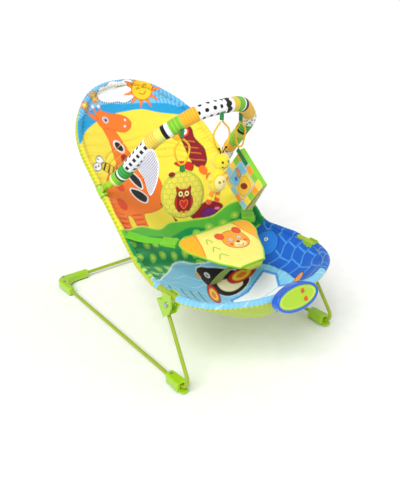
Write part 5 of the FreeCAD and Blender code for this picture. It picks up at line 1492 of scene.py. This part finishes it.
class BOUNCER_OT_owl(bpy.types.Operator):
    """Makes the stuffed owl disc and the tab that carries it"""
    bl_idname = "bouncer.owl"
    bl_label = "Owl disc"

    def execute(self, context):
        settings = context.scene.bouncer_toys
        centre = below_loop("owl") - np.array([0, 0, TAB_HEIGHT + DISC_B])
        facing = np.array([math.sin(DISC_TURN), -math.cos(DISC_TURN), 0])
        right = np.array([math.cos(DISC_TURN), math.sin(DISC_TURN), 0])

        def place(u, v, h):
            return centre + u[:, None] * right + v[:, None] * np.array([0, 0, 1.0]) \
                + h[:, None] * facing

        disc = pillow("owl_cushion", oval(DISC_A, DISC_B, 80), 19.0, place,
                      cloth("owl_fabric", threads=1300.0),
                      lambda u, v, front: paint_disc(u, v, front, tuple(settings.disc)),
                      rings=44, spokes=170, crown=3.2)
        settle(disc, "owl", ("owl_disc",))
        seam = place(*oval(DISC_A + 0.2, DISC_B + 0.2, 121, True).T, np.zeros(121))
        welt = mesh_piece("owl_welt", tube_points(seam, 1.3, 8)[:-1], closed_tube_faces(120, 8),
                          cloth("welt_fabric", (0.70, 0.80, 0.25), 1400.0))
        settle(welt, "owl")
        tab_at = row(below_loop("owl") - np.array([0, 0, TAB_HEIGHT / 2]))
        tab = primitive("cube", size=1.0, location=tuple(tab_at))
        stretch(tab, (0.0105, 0.0078, 0.0125))
        stretch(tab, (0.75, 0.85, 1.0), lambda f: f.normal.z > 0.9)
        done(tab, 0.0016, 3)
        tab = joined([tab], "owl_tab")
        painted(tab, moulded("tab_plastic", tuple(settings.hook), 0.25, coat=0.2))
        settle(tab, "owl", ("owl_clip",))
        bead_at = row(centre + right * -22 + np.array([0, 0, 46.0]) + facing * 3)
        bead = primitive("uv_sphere", segments=24, ring_count=14, radius=0.0055,
                         location=tuple(bead_at))
        stretch(bead, (1.35, 0.8, 0.85))
        done(bead)
        bead = joined([bead], "owl_berry")
        painted(bead, cloth("berry_fabric", (0.55, 0.08, 0.08), 1400.0))
        settle(bead, "owl")
        return {"FINISHED"}


def paint_plush(mesh, head, body, tone):
    """Face, belly and feet, in millimetres from the middle of the head."""
    points = np.empty(len(mesh.vertices) * 3)
    mesh.vertices.foreach_get("co", points)
    points = points.reshape(-1, 3) * 1000
    points[:, 1] -= BENCH_SHIFT
    p = Print(points[:, 0] - head[0], points[:, 2] - head[2], tone)
    rear = points[:, 1] > head[1] + 2
    ground = p.rgb[rear]
    left, _, low = body - head
    for ex in (-8, 5):
        p.spot(ex, 3, 2.2, 2.8, BLACK)
    p.line([(-9, -6), (-2, -10), (6, -6)], 1.8, BLACK)
    p.spot(left - 1, low + 2, 14, 15, (0.96, 0.90, 0.58), edge=(0.92, 0.70, 0.12), width=1.4)
    for dx in (-6, 4):
        p.spot(left + dx, low + 5, 2.4, 2.4, (0.55, 0.30, 0.10))
    p.rgb[rear] = ground
    for way in (-1, 1):
        p.spot(left - 14 + way * 9, low - 39, 9, 7, (0.90, 0.30, 0.08))
        p.spot(left - 7 + way * 8, low - 22, 7, 6, (0.95, 0.58, 0.12))
    p.spot(left + 3, low - 20, 16, 5, (0.95, 0.62, 0.10))
    return p.result()


class BOUNCER_OT_plush(bpy.types.Operator):
    """Makes the stuffed yellow creature"""
    bl_idname = "bouncer.plush"
    bl_label = "Plush creature"

    def execute(self, context):
        settings = context.scene.bouncer_toys
        head = below_loop("plush") - np.array([0, 0, 19.0])
        body = head - np.array([11.0, 0, 41.0])
        balls = [(head, 18.3, (1.0, 0.95, 1.0)), (body, 20.6, (0.98, 0.92, 1.04)),
                 ((head + body) / 2, 11.5, (1, 1, 1))]
        for way in (-1.0, 1.0):
            hip = body + np.array([way * 5.5, 0, -8])
            foot = body + np.array([way * 11.0 - 9, 0, -38])
            for t in np.linspace(0, 1, 6):
                balls.append((hip + (foot - hip) * t, 5.4 + 1.0 * (t > 0.9), (1, 1, 1)))
            balls.append((body + np.array([way * 17.0, -4, 10]), 6.5, (1.2, 1, 0.8)))
        parts = []
        for at, radius, shape in balls:
            parts.append(primitive("uv_sphere", segments=28, ring_count=18, radius=radius / 1000,
                                   location=tuple(row(at))))
            stretch(parts[-1], shape)
        plush = joined(parts, "plush_creature")
        done(plush)
        for kind, options in (("REMESH", {"mode": "VOXEL", "voxel_size": 0.0011}),
                              ("SMOOTH", {"factor": 0.6, "iterations": 14})):
            step = plush.modifiers.new(kind.lower(), kind)
            for key, value in options.items():
                setattr(step, key, value)
            bpy.ops.object.modifier_apply(modifier=step.name)
        print_on(plush.data, paint_plush(plush.data, head, body, tuple(settings.plush)))
        painted(plush, cloth("plush_fabric", threads=1600.0, bump=0.8, sheen=0.6))
        plush.data.polygons.foreach_set("use_smooth", [True] * len(plush.data.polygons))
        settle(plush, "plush", ("plush_body",))
        stalks, felt = [], cloth("feeler_cord", BLACK, 1500.0)
        for way in (-1.0, 1.0):
            base = head + np.array([way * 3.0 - 1, -2, 17.0])
            line = smooth_line([base, base + [way * 2.0, -2, 7], base + [way * 6.0, -3, 12]], 8)
            stalks.append(mesh_piece("feeler", tube_points(line, 1.1, 8), tube_faces(len(line), 8),
                                     felt))
            tip = primitive("uv_sphere", segments=16, ring_count=10, radius=0.0024,
                            location=tuple(row(line[-1])))
            stretch(tip, (1.1, 1, 0.9))
            done(tip)
            painted(tip, felt)
            stalks.append(tip)
        feelers = joined(stalks, "plush_feelers")
        settle(feelers, "plush")
        return {"FINISHED"}


BOOK_SLOPE = math.radians(-38.0)
BOOK_SIDE = 95.0
LEAF_STEP, LEAF_GROWTH, LEAF_FAN = 3.4, 4.0, 3.0    # each leaf lies further out, longer and turned
SIDEWAYS = np.array([1.0, 0, 0])


def book_point(along, across, out, fan):
    """Points of a book leaf: along the spine, across the leaf and out to the right."""
    corner = below_loop("book") - np.array([0, 0, 5.0])
    c, s = math.cos(math.radians(fan)), math.sin(math.radians(fan))
    turned = across * c - out * s
    lifted = across * s + out * c
    spine = np.array([0.0, -math.cos(BOOK_SLOPE), math.sin(BOOK_SLOPE)])
    leaf = np.cross(SIDEWAYS, spine)
    return corner + along[..., None] * spine + turned[..., None] * leaf \
        + lifted[..., None] * SIDEWAYS


PATCH = 19                      # millimetres of a patch of the book's border


def square(x0, x1, y0, y1, closed=False):
    corners = [(x0, y0), (x1, y0), (x1, y1), (x0, y1)]
    return corners + corners[:1] if closed else corners


def paint_cover_leaf(u, v, front):
    """Patchwork border with a dotted line round a small picture; u runs along the spine."""
    p = Print(u, v, (0.97, 0.88, 0.35))
    tones = [(0.98, 0.86, 0.30), (0.55, 0.82, 0.92), (0.97, 0.62, 0.12), (0.50, 0.80, 0.20)]
    for k, low in enumerate(range(0, 100, PATCH)):
        for m, (x0, y0) in enumerate(((low, 0), (low, 4 * PATCH), (0, low), (4 * PATCH, low))):
            p.area(square(x0, x0 + PATCH, y0, y0 + PATCH), tones[(12 * k + 3 * m + k) % 4],
                   smooth=False)
    if not front:
        return p.result()
    p.area(square(18, 77, 18, 77), (0.92, 0.86, 0.30), smooth=False)
    p.area([(18, 16), (44, 16), (40, 40), (46, 60), (42, 79), (18, 79)], (0.45, 0.78, 0.92))
    p.area([(48, 30), (72, 34), (74, 66), (56, 74), (46, 56)], (0.97, 0.80, 0.20),
           (0.90, 0.50, 0.10), 1.4)
    p.spot(60, 50, 7, 12, (0.55, 0.08, 0.06), 30)
    p.spot(30, 44, 9, 6, (0.94, 0.56, 0.20), 20, (0.50, 0.20, 0.10), 1.2)
    p.spot(34, 60, 5, 5, (0.20, 0.45, 0.80))
    p.eye(27, 47, 2.2)
    frame_line = square(17, 78, 17, 78, closed=True)
    p.line(frame_line, 3.2, WHITE, smooth=False)
    p.line(frame_line, 2.6, BLACK, smooth=False, dash=4.6)
    return p.result()


def paint_page(u, v, blue):
    """An inner page: a dotted frame round a flower on a pond, or on a sunny ground."""
    p = Print(u, v, (0.86, 0.92, 0.94) if blue else (0.72, 0.76, 0.24))
    p.line(square(12, 83, 12, 88, closed=True), 2.6, BLACK, smooth=False, dash=4.6)
    p.spot(48, 50, 22, 18, (0.50, 0.78, 0.90) if blue else (0.90, 0.80, 0.25))
    p.flower(48, 50, 12, (0.95, 0.50, 0.15), (0.97, 0.85, 0.25), (0.60, 0.20, 0.08))
    return p.result()


class BOUNCER_OT_book(bpy.types.Operator):
    """Makes the soft picture book and the tab that it hangs by"""
    bl_idname = "bouncer.book"
    bl_label = "Cloth book"

    def execute(self, context):
        settings = context.scene.bouncer_toys
        fabric = cloth("book_fabric", threads=1200.0)
        leaves = []
        for step in range(4):
            reach = BOOK_SIDE + step * LEAF_GROWTH
            u, v = np.meshgrid(np.linspace(0, BOOK_SIDE, 93), np.linspace(0, reach, 97),
                               indexing="ij")
            edge = np.minimum(np.minimum(u, BOOK_SIDE - u), np.minimum(v + 1, reach - v))
            puff = 1.45 * (1 - np.exp(-np.clip(edge, 0, None) / 2.2)) ** 0.6
            puff = puff * (1 - 0.35 * np.exp(-((edge - 4) / 1.0) ** 2))
            wave = 0.5 * ripple(u / 26, v / 26, 80 + step) * np.clip(v / 30, 0, 1)
            middle = step * LEAF_STEP + 1.5 + wave
            low, top = (book_point(u, v, middle + way * puff, step * LEAF_FAN) for way in (-1, 1))
            inner = Print(u, v, (0.92, 0.90, 0.60)).result()
            if step == 0:
                sheets = [inner, paint_cover_leaf(u, v, True)]
            elif step == 3:
                sheets = [paint_cover_leaf(u, v, False), inner]
            else:
                sheets = [paint_page(u, v, step == 2)] * 2
            leaves.append(mesh_piece("leaf%d" % step, layers(top, low), slab_facing(top, SIDEWAYS),
                                     fabric, np.vstack(sheets)))
        along = np.linspace(0, BOOK_SIDE, 60)
        spine = book_point(along, along * 0 - 0.6, along * 0 + 6.6, 0.0)
        centre = spine[:, None, :]
        points = centre + (tube_points(spine, 1.0, 16) - centre) * np.array([6.2, 1.6, 1.6])
        tones = opaque(np.tile(linear((0.50, 0.80, 0.20)), (60 * 16, 1)))
        leaves.insert(1, mesh_piece("spine", points, tube_faces(60, 16), fabric, tones))
        cover = joined([leaves[0], leaves[1], leaves[4]], "book_cover_cloth")
        settle(cover, "book", ("book_cover",))
        pages = joined(leaves[2:4], "book_page_cloth")
        settle(pages, "book", ("book_pages",))
        u, v = np.meshgrid(np.linspace(-5, 34, 40), np.linspace(0, 11, 14), indexing="ij")
        swell = 0.9 + 0.25 * np.cos((v - 5.5) * 1.6)
        top = book_point(u, v, -0.2 + 0 * swell, 0.0)
        low = book_point(u, v, -0.2 - 2 * swell, 0.0)
        tab = mesh_piece("book_webbing_tab", layers(top, low), slab_facing(top, SIDEWAYS),
                         cloth("tab_webbing", tuple(settings.hook), 900.0, 0.5))
        settle(tab, "book", ("book_tab",))
        return {"FINISHED"}


class BOUNCER_PT_panel(bpy.types.Panel):
    """Lists the pieces of the bouncer seat"""
    bl_label = "Bouncer seat"
    bl_idname = "BOUNCER_PT_panel"
    bl_space_type = "VIEW_3D"
    bl_region_type = "UI"
    bl_category = "Bouncer"

    def draw(self, context):
        for operator in OPERATORS:
            self.layout.operator(operator.bl_idname)
        for name, group in SETTINGS.items():
            box = self.layout.box()
            for label in group.__annotations__:
                box.prop(getattr(context.scene, name), label)


OPERATORS = (BOUNCER_OT_stage, BOUNCER_OT_hooks, BOUNCER_OT_hardware, BOUNCER_OT_cover,
             BOUNCER_OT_hem, BOUNCER_OT_crotch_pad, BOUNCER_OT_straps, BOUNCER_OT_unit_trim,
             BOUNCER_OT_sleeve, BOUNCER_OT_owl, BOUNCER_OT_plush, BOUNCER_OT_book)


def register():
    for group in SETTINGS.values():
        bpy.utils.register_class(group)
    for operator in OPERATORS:
        bpy.utils.register_class(operator)
    bpy.utils.register_class(BOUNCER_PT_panel)
    for name, group in SETTINGS.items():
        setattr(bpy.types.Scene, name, bpy.props.PointerProperty(type=group))


def unregister():
    for name in SETTINGS:
        delattr(bpy.types.Scene, name)
    bpy.utils.unregister_class(BOUNCER_PT_panel)
    for operator in reversed(OPERATORS):
        bpy.utils.unregister_class(operator)
    for group in reversed(list(SETTINGS.values())):
        bpy.utils.unregister_class(group)


def main():
    register()
    for operator in OPERATORS:
        area, name = operator.bl_idname.split(".")
        getattr(getattr(bpy.ops, area), name)()


if __name__ == "__main__":
    main()
